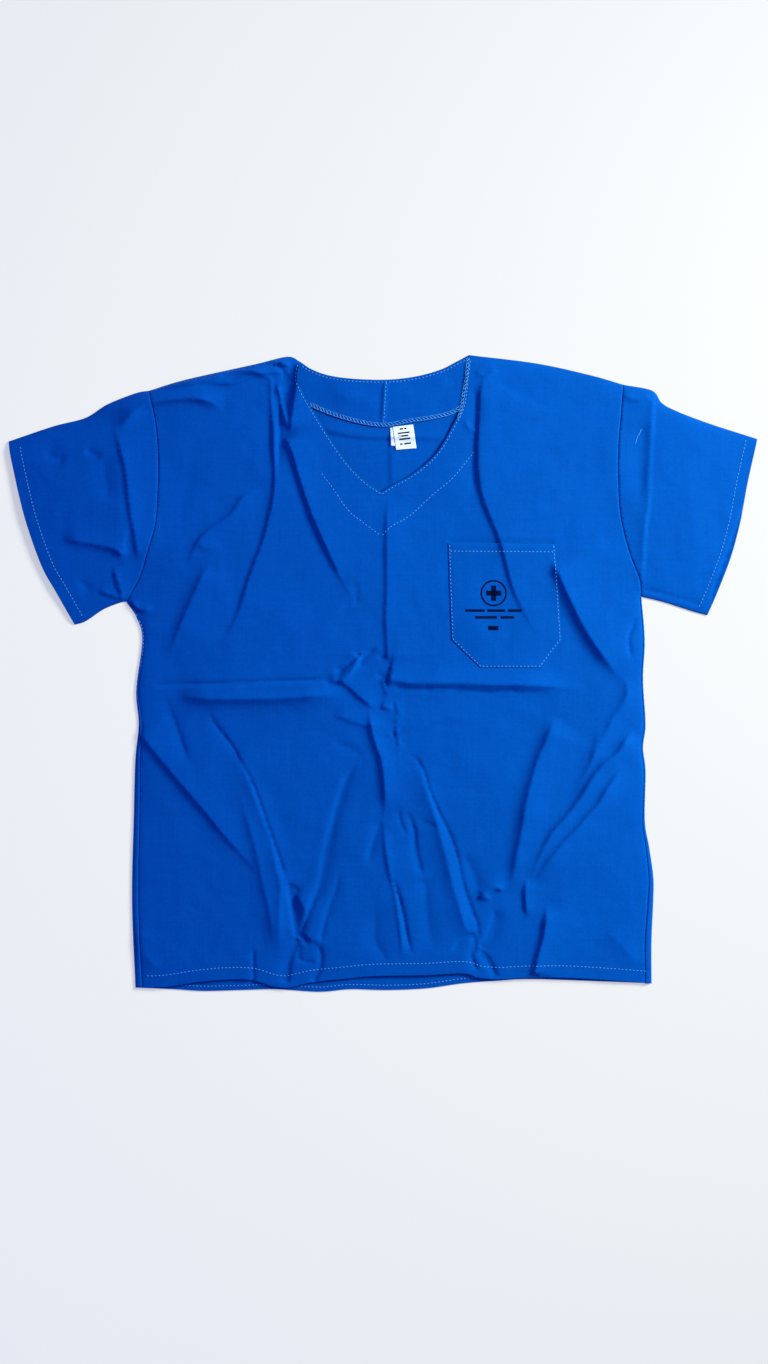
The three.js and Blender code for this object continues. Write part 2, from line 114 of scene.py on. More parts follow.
# ---- Folds: name, height, reach on the line's left and on its right, points from start to end ----
# A fold rises to its line and falls away on both sides; a negative height is a groove. Its height
# fades out towards both ends of the line, or at once where a share of the line is given for it.
FOLDS = [
    # the wearer's right of the chest and the shoulder
    ("chest_long", 2.7, 40, 2.2, [(-128, 320), (-127, 262), (-127, 222), (-130, 198), (-141, 154),
     (-156, 114), (-170, 70), (-184, 42), (-203, 22)], 0.12, 0.3),
    ("chest_edge", 1.5, 2.2, 2.0, [(-132, 352), (-131, 320), (-129, 280), (-128, 232)], 0.1, 0.3),
    ("chest_shade", -2.2, 8, 3, [(-122, 336), (-121, 300), (-122, 262), (-124, 226)], 0.15, 0.3),
    ("neck_pleat", 4.2, 46, 3.0, [(-117, 280), (-107, 262), (-97, 228), (-82, 184), (-65, 146), (-46, 106),
     (-28, 78)], 0.06, 0.4),
    ("neck_pleat_top", 3.2, 3.4, 3.4, [(-124, 344), (-119, 316), (-112, 290)], 0.2, 0.1),
    ("neck_roll", 5.2, 30, 4.2, [(-97, 368), (-100, 344), (-105, 312), (-109, 278)], 0.08, 0.2),
    ("arm_curve", 2.6, 16, 2.8, [(-140, 214), (-163, 208), (-178, 187), (-207, 165), (-222, 146),
     (-230, 120)], 0.2, 0.3),
    ("arm_curve_tail", 1.4, 8, 2.4, [(-222, 154), (-207, 147), (-188, 150)], 0.3, 0.5),
    ("arm_low", 3.4, 26, 5, [(-200, 134), (-212, 114), (-228, 78), (-244, 40), (-254, 8)], 0.2, 0.4),
    ("shoulder_droop", 7.5, 24, 4.0, [(-312, 284), (-298, 300), (-276, 316), (-243, 322), (-214, 322),
     (-184, 311)], 0.2, 0.25),
    ("shoulder_a", 6.0, 10, 2.4, [(-262, 333), (-207, 345), (-178, 354), (-150, 354),
     (-128, 345)], 0.3, 0.2),
    ("shoulder_b", 4.6, 6, 2.2, [(-212, 341), (-180, 341), (-160, 347), (-134, 354),
     (-104, 354)], 0.3, 0.2),
    ("shoulder_c", 5.0, 6, 2.2, [(-168, 358), (-144, 364), (-124, 366), (-106, 360)], 0.3, 0.2),
    ("shoulder_d", -3.0, 3, 3, [(-128, 366), (-118, 356), (-112, 342)]),
    ("side_short", 3.0, 4, 1.8, [(-298, 86), (-284, 74), (-270, 78)], 0.2, 0.3),
    ("side_upright", -3.0, 3.4, 2.2, [(-288, 78), (-286, 52), (-281, 24)]),
    # the wearer's right sleeve
    ("sleeve_right_mid", 2.7, 16, 2.6, [(-315, 300), (-314, 286), (-308, 263), (-302, 238), (-299, 209),
     (-295, 181), (-290, 154), (-287, 130)], 0.25, 0.1),
    ("sleeve_right_hollow", -3.0, 16, 16, [(-330, 262), (-326, 232), (-322, 196)], 0.3, 0.3),
    ("sleeve_right_dent_a", -2.0, 7, 7, [(-400, 262), (-386, 254), (-372, 248)], 0.3, 0.3),
    ("sleeve_right_dent_b", -2.0, 6, 6, [(-351, 264), (-341, 258), (-330, 253)], 0.3, 0.3),
    ("sleeve_right_dent_c", -2.0, 5, 5, [(-359, 112), (-350, 102), (-342, 94)], 0.3, 0.3),
    ("sleeve_right_low", 4.4, 16, 3.6, [(-380, 158), (-354, 154), (-331, 150), (-315, 146), (-307, 140),
     (-297, 141)], 0.25, 0.15),
    ("sleeve_right_pinch", 2.6, 9, 1.8, [(-317, 127), (-313, 111), (-308, 96), (-305, 87)], 0.3, 0.05),
    ("sleeve_right_tip", 2.6, 7, 1.8, [(-337, 98), (-321, 92), (-305, 86)], 0.3, 0.05),
    ("sleeve_right_broad", 3.0, 30, 60, [(-322, 330), (-312, 236), (-304, 110)], 0.3, 0.3),
    # down the middle
    ("centre_crease", 2.4, 34, 2.6, [(6, 206), (5, 161), (5, 100), (4, 65), (5, 45), (6, 24),
     (6, 10)], 0.16, 0.06),
    ("centre_dash", -1.6, 2.0, 2.0, [(-6, 17), (2, 19), (6, 20)], 0.3, 0.05),
    ("lip_hollow", -3.0, 1.6, 3.0, [(-59, 2), (-46, 7), (-37, 14), (-30, 20), (-26, 23)], 0.25, 0.06),
    ("lip_edge", 4.2, 8, 2.6, [(-66, -11), (-52, -9), (-44, -7), (-38, 0), (-33, 8), (-29, 15),
     (-26, 22)], 0.2, 0.1),
    ("lip_stroke", -3.0, 2.2, 3.0, [(-30, 7), (-26, 12), (-18, 22), (-11, 27), (-5, 30)], 0.2, 0.3),
    ("centre_tail", 3.0, 20, 2.6, [(-54, -9), (-46, -12), (-37, -18), (-29, -26), (-19, -34),
     (-8, -43)], 0.12, 0.25),
    ("centre_tail_b", 1.8, 12, 2.6, [(-60, -48), (-45, -53), (-32, -58), (-19, -61), (4, -59)], 0.25, 0.4),
    ("centre_wedge", 4.2, 14, 3.8, [(-16, -44), (-14, -58), (-11, -74), (-6, -90), (-2, -100), (2, -128),
     (3, -150), (2, -176)], 0.15, 0.3),
    ("centre_line", 2.2, 7, 2.4, [(2, -170), (2, -183), (4, -208), (8, -233), (14, -257), (18, -282),
     (22, -312), (24, -340)], 0.2, 0.2),
    ("centre_line_edge", -3.2, 2.2, 4, [(10, -232), (13, -242), (20, -266), (25, -287), (29, -309),
     (35, -334)], 0.3, 0.2),
    ("centre_branch", -2.6, 5, 4, [(0, -172), (-8, -190), (-13, -206), (-18, -231)], 0.2, 0.4),
    ("centre_branch_foot", -1.8, 6, 8, [(-8, -270), (-9, -300), (-8, -318), (2, -334),
     (8, -348)], 0.3, 0.3),
    ("centre_short", 1.7, 10, 2.4, [(-1, -6), (2, -16), (6, -29)], 0.15, 0.3),
    ("centre_step", -1.2, 2.0, 3, [(-8, -3), (-2, -3), (3, -5)]),
    ("centre_nick_a", 1.3, 3.4, 2.2, [(18, -24), (16, -36), (19, -46), (17, -60), (17, -74), (20, -88),
     (15, -104)], 0.2, 0.3),
    ("centre_nick_b", 2.4, 6, 1.8, [(-2, -39), (4, -41), (12, -42)]),
    ("centre_nick_c", -2.0, 3, 5, [(10, -69), (14, -72), (16, -80)]),
    ("centre_nick_d", -1.2, 2, 3, [(-4, -80), (6, -76), (12, -80)]),
    ("centre_soft_line", 1.2, 12, 3, [(18, -67), (37, -65), (53, -60), (64, -56), (82, -53), (110, -55)]),
    ("centre_soft_low", -1.2, 4, 6, [(-60, -80), (-40, -88), (-22, -98)]),
    ("chest_short", -1.0, 2.4, 3, [(-34, 110), (-31, 96), (-31, 78)]),
    # the crease across the body
    ("press_right", -3.0, 3.0, 2.2, [(-272, -15), (-220, -13), (-177, -12), (-126, -10), (-92, -9),
     (-60, -8)], 0.08, 0.1),
    ("press_right_edge", 1.8, 2.4, 8, [(-200, -15), (-150, -14), (-110, -13), (-80, -12),
     (-56, -11)], 0.2, 0.1),
    ("press_right_roll", 8.0, 18, 8, [(-246, -26), (-208, -30), (-160, -30), (-110, -29), (-70, -26),
     (-40, -27)], 0.2, 0.25),
    ("press_left", 5.8, 18, 6.4, [(6, -7), (18, -9), (37, -12), (63, -12), (92, -12), (134, -14),
     (162, -14), (200, -16), (244, -18)], 0.012, 0.3),
    ("press_left_hollow", -1.6, 3, 5, [(10, -14), (24, -18), (44, -19), (62, -17)]),
    ("press_left_kink", -1.4, 3, 5, [(44, -24), (64, -19), (92, -20), (128, -23), (150, -20), (162, -23),
     (196, -21)], 0.12, 0.3),
    # the wearer's right, below the crease
    ("hip_soft", -2.2, 4, 9, [(-254, -24), (-253, -38), (-245, -58), (-236, -84), (-225, -112)], 0.2, 0.3),
    ("hip_diagonal", 3.8, 26, 4.2, [(-290, -62), (-284, -73), (-253, -111), (-212, -159), (-178, -200),
     (-150, -231), (-134, -252)], 0.06, 0.4),
    ("hip_ridge", 3.0, 8, 8, [(-186, -74), (-170, -98), (-157, -130), (-147, -157), (-137, -182),
     (-130, -204), (-125, -229), (-120, -249), (-121, -272), (-122, -306), (-123, -340)], 0.25, 0.2),
    ("hip_ridge_edge", -2.0, 2.0, 6, [(-205, -42), (-199, -57), (-187, -73), (-174, -91), (-164, -110),
     (-156, -124), (-149, -140), (-139, -168), (-131, -191), (-122, -216), (-115, -237),
     (-110, -246)], 0.1, 0.1),
    ("hip_ridge_shade", 3.0, 16, 7.0, [(-172, -128), (-158, -176), (-148, -211), (-141, -245), (-133, -280),
     (-127, -330)], 0.3, 0.2),
    ("hem_tick", -2.4, 1.8, 2.4, [(-152, -322), (-152, -345), (-152, -364)], 0.3, 0.05),
    ("pinch_wedge", -6.4, 7, 2.4, [(-111, -250), (-106, -274), (-104, -294), (-100, -314)], 0.15, 0.1),
    ("pinch_wedge_lip", -2.4, 2.4, 4, [(-112, -248), (-104, -254), (-95, -260)], 0.1, 0.5),
    ("pinch_wedge_bank", 4.3, 18, 8, [(-105, -256), (-94, -272), (-90, -284), (-93, -300),
     (-98, -312)], 0.25, 0.1),
    ("pinch_curl", -4.4, 2.2, 6, [(-99, -313), (-105, -328), (-110, -342), (-113, -366)], 0.06, 0.05),
    ("pinch_lip", -3.4, 2.0, 3, [(-99, -311), (-94, -309), (-90, -313), (-89, -322)], 0.1, 0.2),
    ("pinch_patch", -1.6, 2.0, 3, [(-97, -319), (-97, -338), (-79, -341)], 0.1, 0.1),
    ("pinch_right", -3.6, 2.0, 3.4, [(-75, -320), (-72, -335), (-74, -349), (-82, -364)], 0.2, 0.05),
    ("belly_groove", -4.2, 5.6, 3, [(-30, -104), (-43, -127), (-50, -148), (-57, -172), (-63, -195),
     (-67, -213), (-71, -236), (-77, -258), (-86, -279), (-93, -298), (-99, -312)], 0.15, 0.06),
    ("belly_groove_b", -2.2, 4.5, 2.6, [(-50, -226), (-54, -250), (-61, -270), (-68, -292),
     (-74, -318)], 0.4, 0.1),
    # the wearer's left of the chest
    ("chest_left_long", 3.0, 44, 2.2, [(128, 356), (120, 347), (116, 330), (113, 280), (113, 240),
     (119, 205), (139, 154), (154, 99), (172, 63), (188, 36)], 0.12, 0.3),
    ("chest_left_soft", -2.0, 6, 12, [(114, 330), (110, 290), (107, 240), (110, 205)]),
    ("pocket_mouth_slit", -1.2, 1.6, 1.2, [(77, 154), (120, 154), (160, 153), (203, 153)], 0.02, 0.02),
    ("neck_pucker_a", 1.4, 5, 3, [(108, 356), (122, 350), (136, 358)]),
    ("neck_pucker_b", 1.4, 4, 2.4, [(96, 298), (104, 286), (112, 288)]),
    ("neck_pucker_c", -1.2, 4, 4, [(104, 340), (110, 326), (110, 306)]),
    ("side_wedge", 6.4, 34, 5.5, [(199, 134), (215, 99), (234, 59), (252, 30), (274, 1),
     (284, -12)], 0.1, 0.3),
    ("side_turn", 2.6, 10, 5, [(278, 2), (288, -16), (285, -34), (272, -52), (262, -73), (244, -107),
     (231, -138)], 0.2, 0.6),
    ("side_nicks", -1.8, 3, 3, [(300, 66), (290, 40), (294, 14)]),
    ("sleeve_left_ridge", 1.7, 2.0, 8, [(320, 338), (317, 290), (315, 248), (313, 199), (309, 172),
     (305, 100)], 0.08, 0.1),
    ("sleeve_left_hollow", -3.0, 9, 16, [(308, 300), (306, 268), (305, 232), (302, 196)], 0.25, 0.35),
    ("sleeve_left_top", 2.0, 6, 3, [(282, 326), (300, 322), (318, 328)]),
    ("sleeve_left_soft", 1.0, 24, 16, [(352, 262), (362, 200), (376, 130)]),
    ("sleeve_left_under", -2.4, 1.8, 2.2, [(307, 97), (320, 96), (341, 90), (360, 85),
     (375, 80)], 0.1, 0.05),
    ("sleeve_left_inner_cuff", -1.8, 1.6, 2.2, [(429, 208), (422, 184), (414, 160), (403, 131), (393, 105),
     (386, 80)], 0.2, 0.1),
    # the wearer's left, below the crease
    ("belly_left", 3.0, 7, 9, [(34, -99), (42, -108), (50, -131), (60, -163), (67, -187), (75, -217),
     (82, -246), (90, -273), (97, -296), (106, -314)], 0.2, 0.1),
    ("belly_left_edge", -1.9, 1.8, 4, [(24, -95), (39, -100), (49, -117), (56, -140), (69, -169),
     (81, -194), (90, -223), (96, -251), (105, -278), (112, -296), (114, -318)], 0.12, 0.05),
    ("belly_left_puckers", -2.6, 7, 9, [(92, -212), (102, -224), (108, -240), (116, -262)], 0.3, 0.3),
    ("belly_left_shelf", -1.0, 2.4, 4, [(42, -172), (50, -176), (64, -182)]),
    ("belly_mid_b", -3.2, 2.0, 4.5, [(27, -158), (34, -174), (38, -187), (39, -205), (43, -223),
     (47, -240)], 0.4, 0.15),
    ("belly_mid_foot", -2.6, 7, 9, [(47, -240), (51, -256), (53, -290), (60, -330)], 0.1, 0.3),
    ("belly_mid_a", -1.4, 2.0, 4, [(18, -155), (21, -174), (31, -197)], 0.3, 0.4),
    ("thigh_a", 5.4, 30, 6.0, [(208, -50), (200, -63), (193, -79), (183, -102), (175, -129), (169, -154),
     (164, -185), (158, -214), (153, -242), (145, -262)], 0.12, 0.2),
    ("thigh_b", 5.0, 14, 3.8, [(296, -66), (276, -95), (260, -108), (246, -126), (232, -149), (217, -169),
     (201, -187), (189, -208), (180, -226), (176, -248)], 0.1, 0.3),
    ("thigh_top", 2.0, 8, 5, [(258, -60), (253, -79), (245, -108), (232, -129), (223, -147)], 0.3, 0.4),
    ("thigh_c", 4.4, 16, 3.4, [(290, -106), (278, -117), (266, -135), (253, -156), (241, -169), (228, -185),
     (214, -199), (199, -217), (187, -235), (178, -254)], 0.25, 0.3),
    ("hem_spear_a", 3.0, 12, 2.0, [(170, -240), (168, -257), (169, -275), (170, -290)], 0.3, 0.3),
    ("hem_spear_b", 4.4, 18, 2.4, [(194, -272), (192, -293), (189, -312), (184, -330),
     (178, -356)], 0.25, 0.05),
    ("knee_lip", 3.6, 7, 2.2, [(115, -265), (122, -260), (130, -254), (137, -253), (141, -259)], 0.2, 0.2),
    ("knee_lip_low", 2.8, 4, 2.0, [(113, -262), (119, -265), (128, -264)], 0.2, 0.3),
    ("knee_pinch", -4.6, 7, 2.6, [(133, -276), (130, -296), (124, -312), (115, -325)], 0.3, 0.08),
    ("knee_tail", -4.6, 2.4, 3.4, [(114, -325), (124, -338), (134, -358)], 0.1, 0.05),
    ("knee_hook", -3.6, 2.0, 3.4, [(80, -328), (95, -313), (106, -309), (109, -322), (105, -334),
     (112, -352)], 0.2, 0.1),
    ("corner_left", 2.0, 16, 12, [(262, -300), (290, -330), (300, -352)]),
    ("corner_right", 1.8, 12, 12, [(-285, -300), (-280, -330), (-262, -352)]),
]
BACK_FOLDS = [
    ("storage_crease", 2.1, 9, 1.2, [(-90, 292), (-66, 286), (-31, 279), (7, 277), (39, 277), (70, 276),
     (92, 280)]),
    ("storage_crease_lip", -0.8, 2, 4, [(-90, 285), (-67, 281), (-34, 276), (10, 274), (41, 272),
     (92, 279)]),
    ("back_centre", 1.1, 12, 1.6, [(10, 292), (10, 250), (11, 214)]),
    ("facing_seam", 1.6, 1.8, 1.8, [(6, 347), (3, 340), (1, 314), (0, 292)]),
    ("inner_slack", 1.2, 24, 24, [(-60, 330), (-20, 322), (40, 328)]),
]


# ---- Settings a user would change ----
class GownSizes(bpy.types.PropertyGroup):
    cloth: bpy.props.FloatProperty(
        name="Cloth thickness", description="Thickness of one layer of cloth, in millimetres", default=0.5)
    rest: bpy.props.FloatProperty(
        name="Layer height", description="Height at which the front layer lies over the back, in millimetres",
        default=2.4)
    puff: bpy.props.FloatProperty(
        name="Puff", description="How far the front rises inside its seams, in millimetres", default=1.8)
    fold_depth: bpy.props.FloatProperty(
        name="Fold depth", description="Share of each fold's own height", default=1.0, min=0, max=2)
    slack: bpy.props.FloatProperty(
        name="Slack", description="Height of the loose, shallow waves in the cloth, in millimetres",
        default=0.9)
    stitch: bpy.props.FloatProperty(
        name="Stitch length", description="Length of one stitch, in millimetres", default=2.5)
    stitch_gap: bpy.props.FloatProperty(
        name="Stitch gap", description="Gap from one stitch to the next, in millimetres", default=1.9)
    thread: bpy.props.FloatProperty(
        name="Thread", description="Radius of the sewing thread, in millimetres", default=0.34)
    turned_hem: bpy.props.FloatProperty(
        name="Hem", description="Depth of the body's turned hem, in millimetres", default=14)
    cuff_hem: bpy.props.FloatProperty(
        name="Cuff hem", description="Depth of the sleeves' turned hem, in millimetres", default=13)


class GownColours(bpy.types.PropertyGroup):
    cloth: bpy.props.FloatVectorProperty(
        name="Cloth", description="Colour of the cloth", subtype="COLOR", size=3, default=(0.0, 0.061, 0.35))
    thread: bpy.props.FloatVectorProperty(
        name="Thread", description="Colour of the sewing thread", subtype="COLOR", size=3,
        default=(0.09, 0.34, 0.75))
    tape: bpy.props.FloatVectorProperty(
        name="Tape", description="Colour of the woven labels", subtype="COLOR", size=3,
        default=(0.55, 0.66, 0.8))
    ink: bpy.props.FloatVectorProperty(
        name="Ink", description="Colour of the print", subtype="COLOR", size=3, default=(0.001, 0.003, 0.025))


# ---- Curves on the pattern ----
def respaced(line, step):
    """The same line with its points evenly spread, about step apart."""
    run = np.r_[0, np.cumsum(np.hypot(*np.diff(line, axis=0).T))]
    count = max(int(round(run[-1] / step)), 1)
    at = np.linspace(0, run[-1], count + 1)
    return np.c_[np.interp(at, run, line[:, 0]), np.interp(at, run, line[:, 1])]


def smooth(points, step=2.2):
    """A smooth line through the points, its own points step millimetres apart."""
    p = np.array(points, float)
    ends = np.vstack([2 * p[0] - p[1], p, 2 * p[-1] - p[-2]])
    t = np.linspace(0, 1, 16, endpoint=False)[:, None]
    parts = []
    for a, b, c, d in zip(ends, ends[1:], ends[2:], ends[3:]):
        parts.append(b + 0.5 * t * (c - a + t * (2 * a - 5 * b + 4 * c - d + t * (3 * b - a - 3 * c + d))))
    return respaced(np.vstack(parts + [p[-1:]]), step)


def straight(points, step=2.2):
    """A line with corners at the points."""
    return np.vstack([respaced(np.array(pair, float), step)[:-1] for pair in zip(points, points[1:])]
                     + [np.array(points[-1:], float)])


def moved(line, distance):
    """The line moved to its left. The distance may change along it."""
    along = np.gradient(line, axis=0)
    along /= np.maximum(np.hypot(*along.T), 1e-9)[:, None]
    return line + np.c_[-along[:, 1], along[:, 0]] * np.reshape(distance, (-1, 1))


def along_line(line, values):
    """Values at even steps of a line, spread over its points."""
    return np.interp(np.linspace(0, 1, len(line)), np.linspace(0, 1, len(values)), values)


def closed(*lines):
    """One closed outline from lines that follow each other, with no point twice."""
    points = np.vstack(lines)
    keep = np.hypot(*(points - np.roll(points, -1, axis=0)).T) > 0.3
    return points[keep]


def clipped(line, start, end):
    """The line without so many millimetres of its start and of its end."""
    run = np.r_[0, np.cumsum(np.hypot(*np.diff(line, axis=0).T))]
    return line[(run >= start) & (run <= run[-1] - end)]


def beside(xy, line):
    """How far points are to the left of a line, negative to its right, and where along it, 0 to 1."""
    a, b = line[:-1], line[1:]
    ab = b - a
    ap = xy[:, None, :] - a[None]
    t = np.clip((ap * ab).sum(2) / (ab * ab).sum(1), 0, 1)
    away = ap - t[..., None] * ab
    distance = np.hypot(away[..., 0], away[..., 1])
    nearest = distance.argmin(1)
    rows = np.arange(len(xy))
    side = ab[nearest, 0] * ap[rows, nearest, 1] - ab[nearest, 1] * ap[rows, nearest, 0]
    return np.where(side >= 0, 1, -1) * distance[rows, nearest], (nearest + t[rows, nearest]) / len(ab)


def nearest_distance(xy, line):
    """Distance of each point from a line, as far as 60 mm; farther points say 60."""
    tree = KDTree(len(line))
    for i, p in enumerate(line):
        tree.insert((p[0], p[1], 0), i)
    tree.balance()
    return np.array([min(tree.find((x, y, 0))[2], 60) for x, y in xy])


def ease(t):
    """Runs from 0 to 1 with a soft start and end."""
    t = np.clip(t, 0, 1)
    return t * t * (3 - 2 * t)


# ---- How the cloth lies ----
CLOSED_EDGE_HEIGHT = 1.25  # where the two layers meet, at the closed edges
LOWEST_FRONT = 1.9  # a groove in the front goes no lower than about this
DEEPEST_BACK = 0.4  # the deepest groove in the back, which would otherwise go through the table
BACK_REST = 0.75


def fold_heights(xy, folds):
    """Height that the folds add at each point, in millimetres."""
    total = np.zeros(len(xy))
    for _, height, left, right, points, *fades in folds:
        fade_in, fade_out = fades or (0.22, 0.22)
        line = smooth(points, 4)
        reach = 3 * max(left, right)
        low, high = line.min(0) - reach, line.max(0) + reach
        near = np.flatnonzero(((xy > low) & (xy < high)).all(1))
        if not len(near):
            continue
        d, t = beside(xy[near], line)
        taper = ease(t / fade_in) * ease((1 - t) / fade_out)
        total[near] += height * taper * np.exp(-np.abs(d / np.where(d > 0, left, right)) ** 1.25)
    return total


def waves(xy, size, seed):
    """Smooth random values about 0, with features about size millimetres across."""
    return np.array([noise.noise((x / size + seed, y / size, seed)) for x, y in xy])


def sides_of_body():
    """The seams at the body's sides, which lie inside the outline on the upper side."""
    left, right = smooth(SIDE_LEFT), smooth(SIDE_RIGHT)
    return moved(left, -along_line(left, WRAP_LEFT)), moved(right, -along_line(right, WRAP_RIGHT))


CLOSED_EDGES = np.vstack([
    smooth(SHOULDER_LEFT), smooth(SLEEVE_TOP_LEFT), smooth(UNDER_LEFT), smooth(SIDE_LEFT),
    smooth(SIDE_RIGHT), smooth(UNDER_RIGHT), smooth(SLEEVE_TOP_RIGHT), smooth(SHOULDER_RIGHT),
])
SEAM_LINES = np.vstack([smooth(ARMHOLE_LEFT), smooth(ARMHOLE_RIGHT), *sides_of_body()])


def front_height(xy):
    """Height of the upper layer's outside, front and sleeves alike, in millimetres."""
    sizes = bpy.context.scene.gown_sizes
    edge = nearest_distance(xy, CLOSED_EDGES)
    seam = nearest_distance(xy, SEAM_LINES)
    lie = sizes.rest + sizes.puff * (1 - np.exp(-edge / 24))
    lie += sizes.slack * (waves(xy, 70, 3.1) + 0.6 * waves(xy, 34, 7.7) + 0.3 * waves(xy, 15, 1.3))
    lie += sizes.fold_depth * fold_heights(xy, FOLDS)
    lie = LOWEST_FRONT + np.logaddexp(0, (lie - LOWEST_FRONT) * 1.6) / 1.6
    lie -= 0.9 * np.exp(-(seam / 0.3) ** 2)
    return CLOSED_EDGE_HEIGHT + (lie - CLOSED_EDGE_HEIGHT) * (1 - np.exp(-edge / 3.2))


def back_height(xy):
    """Height of the lower layer's inside, in millimetres."""
    edge = nearest_distance(xy, CLOSED_EDGES)
    folds = np.maximum(fold_heights(xy, BACK_FOLDS), -DEEPEST_BACK)
    lie = BACK_REST + 0.35 * (1 + waves(xy, 60, 5.5)) + folds
    return np.where(edge < 8, lie + (CLOSED_EDGE_HEIGHT - lie) * np.exp(-edge / 1.6), lie)


# ---- Meshes ----
def lattice_in(outline, detail, fine=2.2, detail_reach=7):
    """Points inside an outline: fine near the detail lines and twice as wide elsewhere."""
    low, high = outline.min(0), outline.max(0)
    rows = np.arange(math.floor(low[1] / (fine * 0.866)), math.ceil(high[1] / (fine * 0.866)) + 1)
    cols = np.arange(math.floor(low[0] / fine) - 1, math.ceil(high[0] / fine) + 2)
    i, j = np.meshgrid(cols, rows)
    xy = np.c_[((i + (j % 2) / 2) * fine).ravel(), (j * fine * 0.866).ravel()]
    wide = ((j % 2 == 0) & (((i + j // 2) % 2) == 0)).ravel()
    edge = nearest_distance(xy, outline)
    chosen = wide & (edge > fine)
    if len(detail):
        chosen |= (nearest_distance(xy, detail) < detail_reach) & (edge > 0.7 * fine)
    return xy[chosen]


def inner_rim(outline, depth=0.5):
    """A row of points just inside a closed outline, where cloth turns down into its seam."""
    a, b = np.roll(outline, 1, axis=0), np.roll(outline, -1, axis=0)
    along = b - a
    along /= np.maximum(np.hypot(*along.T), 1e-9)[:, None]
    turns = (outline[:, 0] * b[:, 1] - b[:, 0] * outline[:, 1]).sum()
    inwards = np.c_[-along[:, 1], along[:, 0]] * np.sign(turns)
    rim = outline + inwards * depth
    return rim[inside_outline(rim, outline) & (nearest_distance(rim, outline) > 0.7 * depth)]


def inside_outline(xy, outline):
    """Whether each point lies inside a closed outline."""
    a, b = outline, np.roll(outline, -1, axis=0)
    x, y = xy[:, :1], xy[:, 1:]
    spans = (a[:, 1] > y) != (b[:, 1] > y)
    rise = np.where(b[:, 1] == a[:, 1], 1e-9, b[:, 1] - a[:, 1])
    crossing = a[:, 0] + (y - a[:, 1]) * (b[:, 0] - a[:, 0]) / rise
    return (spans & (crossing > x)).sum(1) % 2 == 1


def twice_areas(xy, triangles):
    """Twice the area of each triangle, negative where its corners run clockwise."""
    a, b, c = (xy[triangles[:, k]] for k in range(3))
    return (b - a)[:, 0] * (c - a)[:, 1] - (b - a)[:, 1] * (c - a)[:, 0]


def grid_faces(rows, columns):
    """Triangles between the points of a grid, numbered row by row."""
    faces = []
    for j in range(rows - 1):
        for i in range(columns - 1):
            a = j * columns + i
            faces += [(a, a + 1, a + columns + 1), (a, a + columns + 1, a + columns)]
    return np.array(faces)


def without_spares(points, faces):
    """Leaves out the points that no face uses, and numbers the faces' corners anew."""
    used = np.unique(faces)
    place = np.full(len(points), -1)
    place[used] = np.arange(len(used))
    return points[used], place[faces]


def flat_mesh(outline, detail=(), fine=2.2, creases=()):
    """Flat points and triangles that fill an outline, with edges along the creases."""
    inside = lattice_in(outline, detail, fine)
    count = len(outline)
    edges = [(i, (i + 1) % count) for i in range(count)]
    crests = []
    for line in creases:
        inner = inside_outline(line, outline) & (nearest_distance(line, outline) > 2.5)
        for i in np.flatnonzero(inner[:-1] & inner[1:]):
            start = count + len(crests)
            crests += [line[i], line[i + 1]]
            edges.append((start, start + 1))
    rim = inner_rim(outline)
    inside = np.vstack([rim, inside[nearest_distance(inside, rim) > 0.5 * fine]])
    if crests:
        crests = np.array(crests)
        inside = np.vstack([crests, inside[nearest_distance(inside, crests) > 0.55 * fine]])
    points = [Vector(p) for p in np.vstack([outline, inside])]
    made = delaunay_2d_cdt(points, edges, [], 1, 1e-3)
    xy = np.array([tuple(p) for p in made[0]])
    triangles = np.array([f for f in made[2] if len(f) == 3])
    face_down = twice_areas(xy, triangles) < 0
    triangles[face_down] = triangles[face_down][:, ::-1]
    return without_spares(xy, triangles)


def welded(points, faces, gap=0.02):
    """Joins points that lie in the same place."""
    tree = KDTree(len(points))
    for i, p in enumerate(points):
        tree.insert(p, i)
    tree.balance()
    first = np.arange(len(points))
    for i, p in enumerate(points):
        first[i] = min(k for _, k, _ in tree.find_range(p, gap))
    faces = first[faces]
    whole = (faces[:, 0] != faces[:, 1]) & (faces[:, 1] != faces[:, 2]) & (faces[:, 2] != faces[:, 0])
    return without_spares(points, faces[whole])


def thickened(points, faces, thickness):
    """A sheet of triangles as a closed layer of cloth, thickness deep under its upper face."""
    normals = np.zeros_like(points)
    a, b, c = (points[faces[:, k]] for k in range(3))
    face_normals = np.cross(b - a, c - a)
    for k in range(3):
        np.add.at(normals, faces[:, k], face_normals)
    normals /= np.maximum(np.linalg.norm(normals, axis=1), 1e-12)[:, None]
    count = len(points)
    edges = np.vstack([faces[:, [0, 1]], faces[:, [1, 2]], faces[:, [2, 0]]])
    key = np.sort(edges, axis=1)
    _, index, shared = np.unique(key, axis=0, return_index=True, return_counts=True)
    rim = edges[index[shared == 1]]
    wall = np.vstack([
        np.c_[rim[:, 1], rim[:, 0], rim[:, 0] + count],
        np.c_[rim[:, 1], rim[:, 0] + count, rim[:, 1] + count],
    ])
    return np.vstack([points, points - normals * thickness]), np.vstack([faces, faces[:, ::-1] + count, wall])


def piece(name, points, faces, material):
    """A new object from points in millimetres."""
    mesh = bpy.data.meshes.new(name)
    mesh.from_pydata((np.asarray(points) * MM).tolist(), [], [tuple(int(i) for i in f) for f in faces])
    mesh.update()
    mesh.shade_smooth()
    mesh.materials.append(material)
    made = bpy.data.objects.new(name, mesh)
    bpy.context.scene.collection.objects.link(made)
    return made


def lying(xy, heights):
    """Flat points raised to their heights."""
    return np.c_[xy, heights]


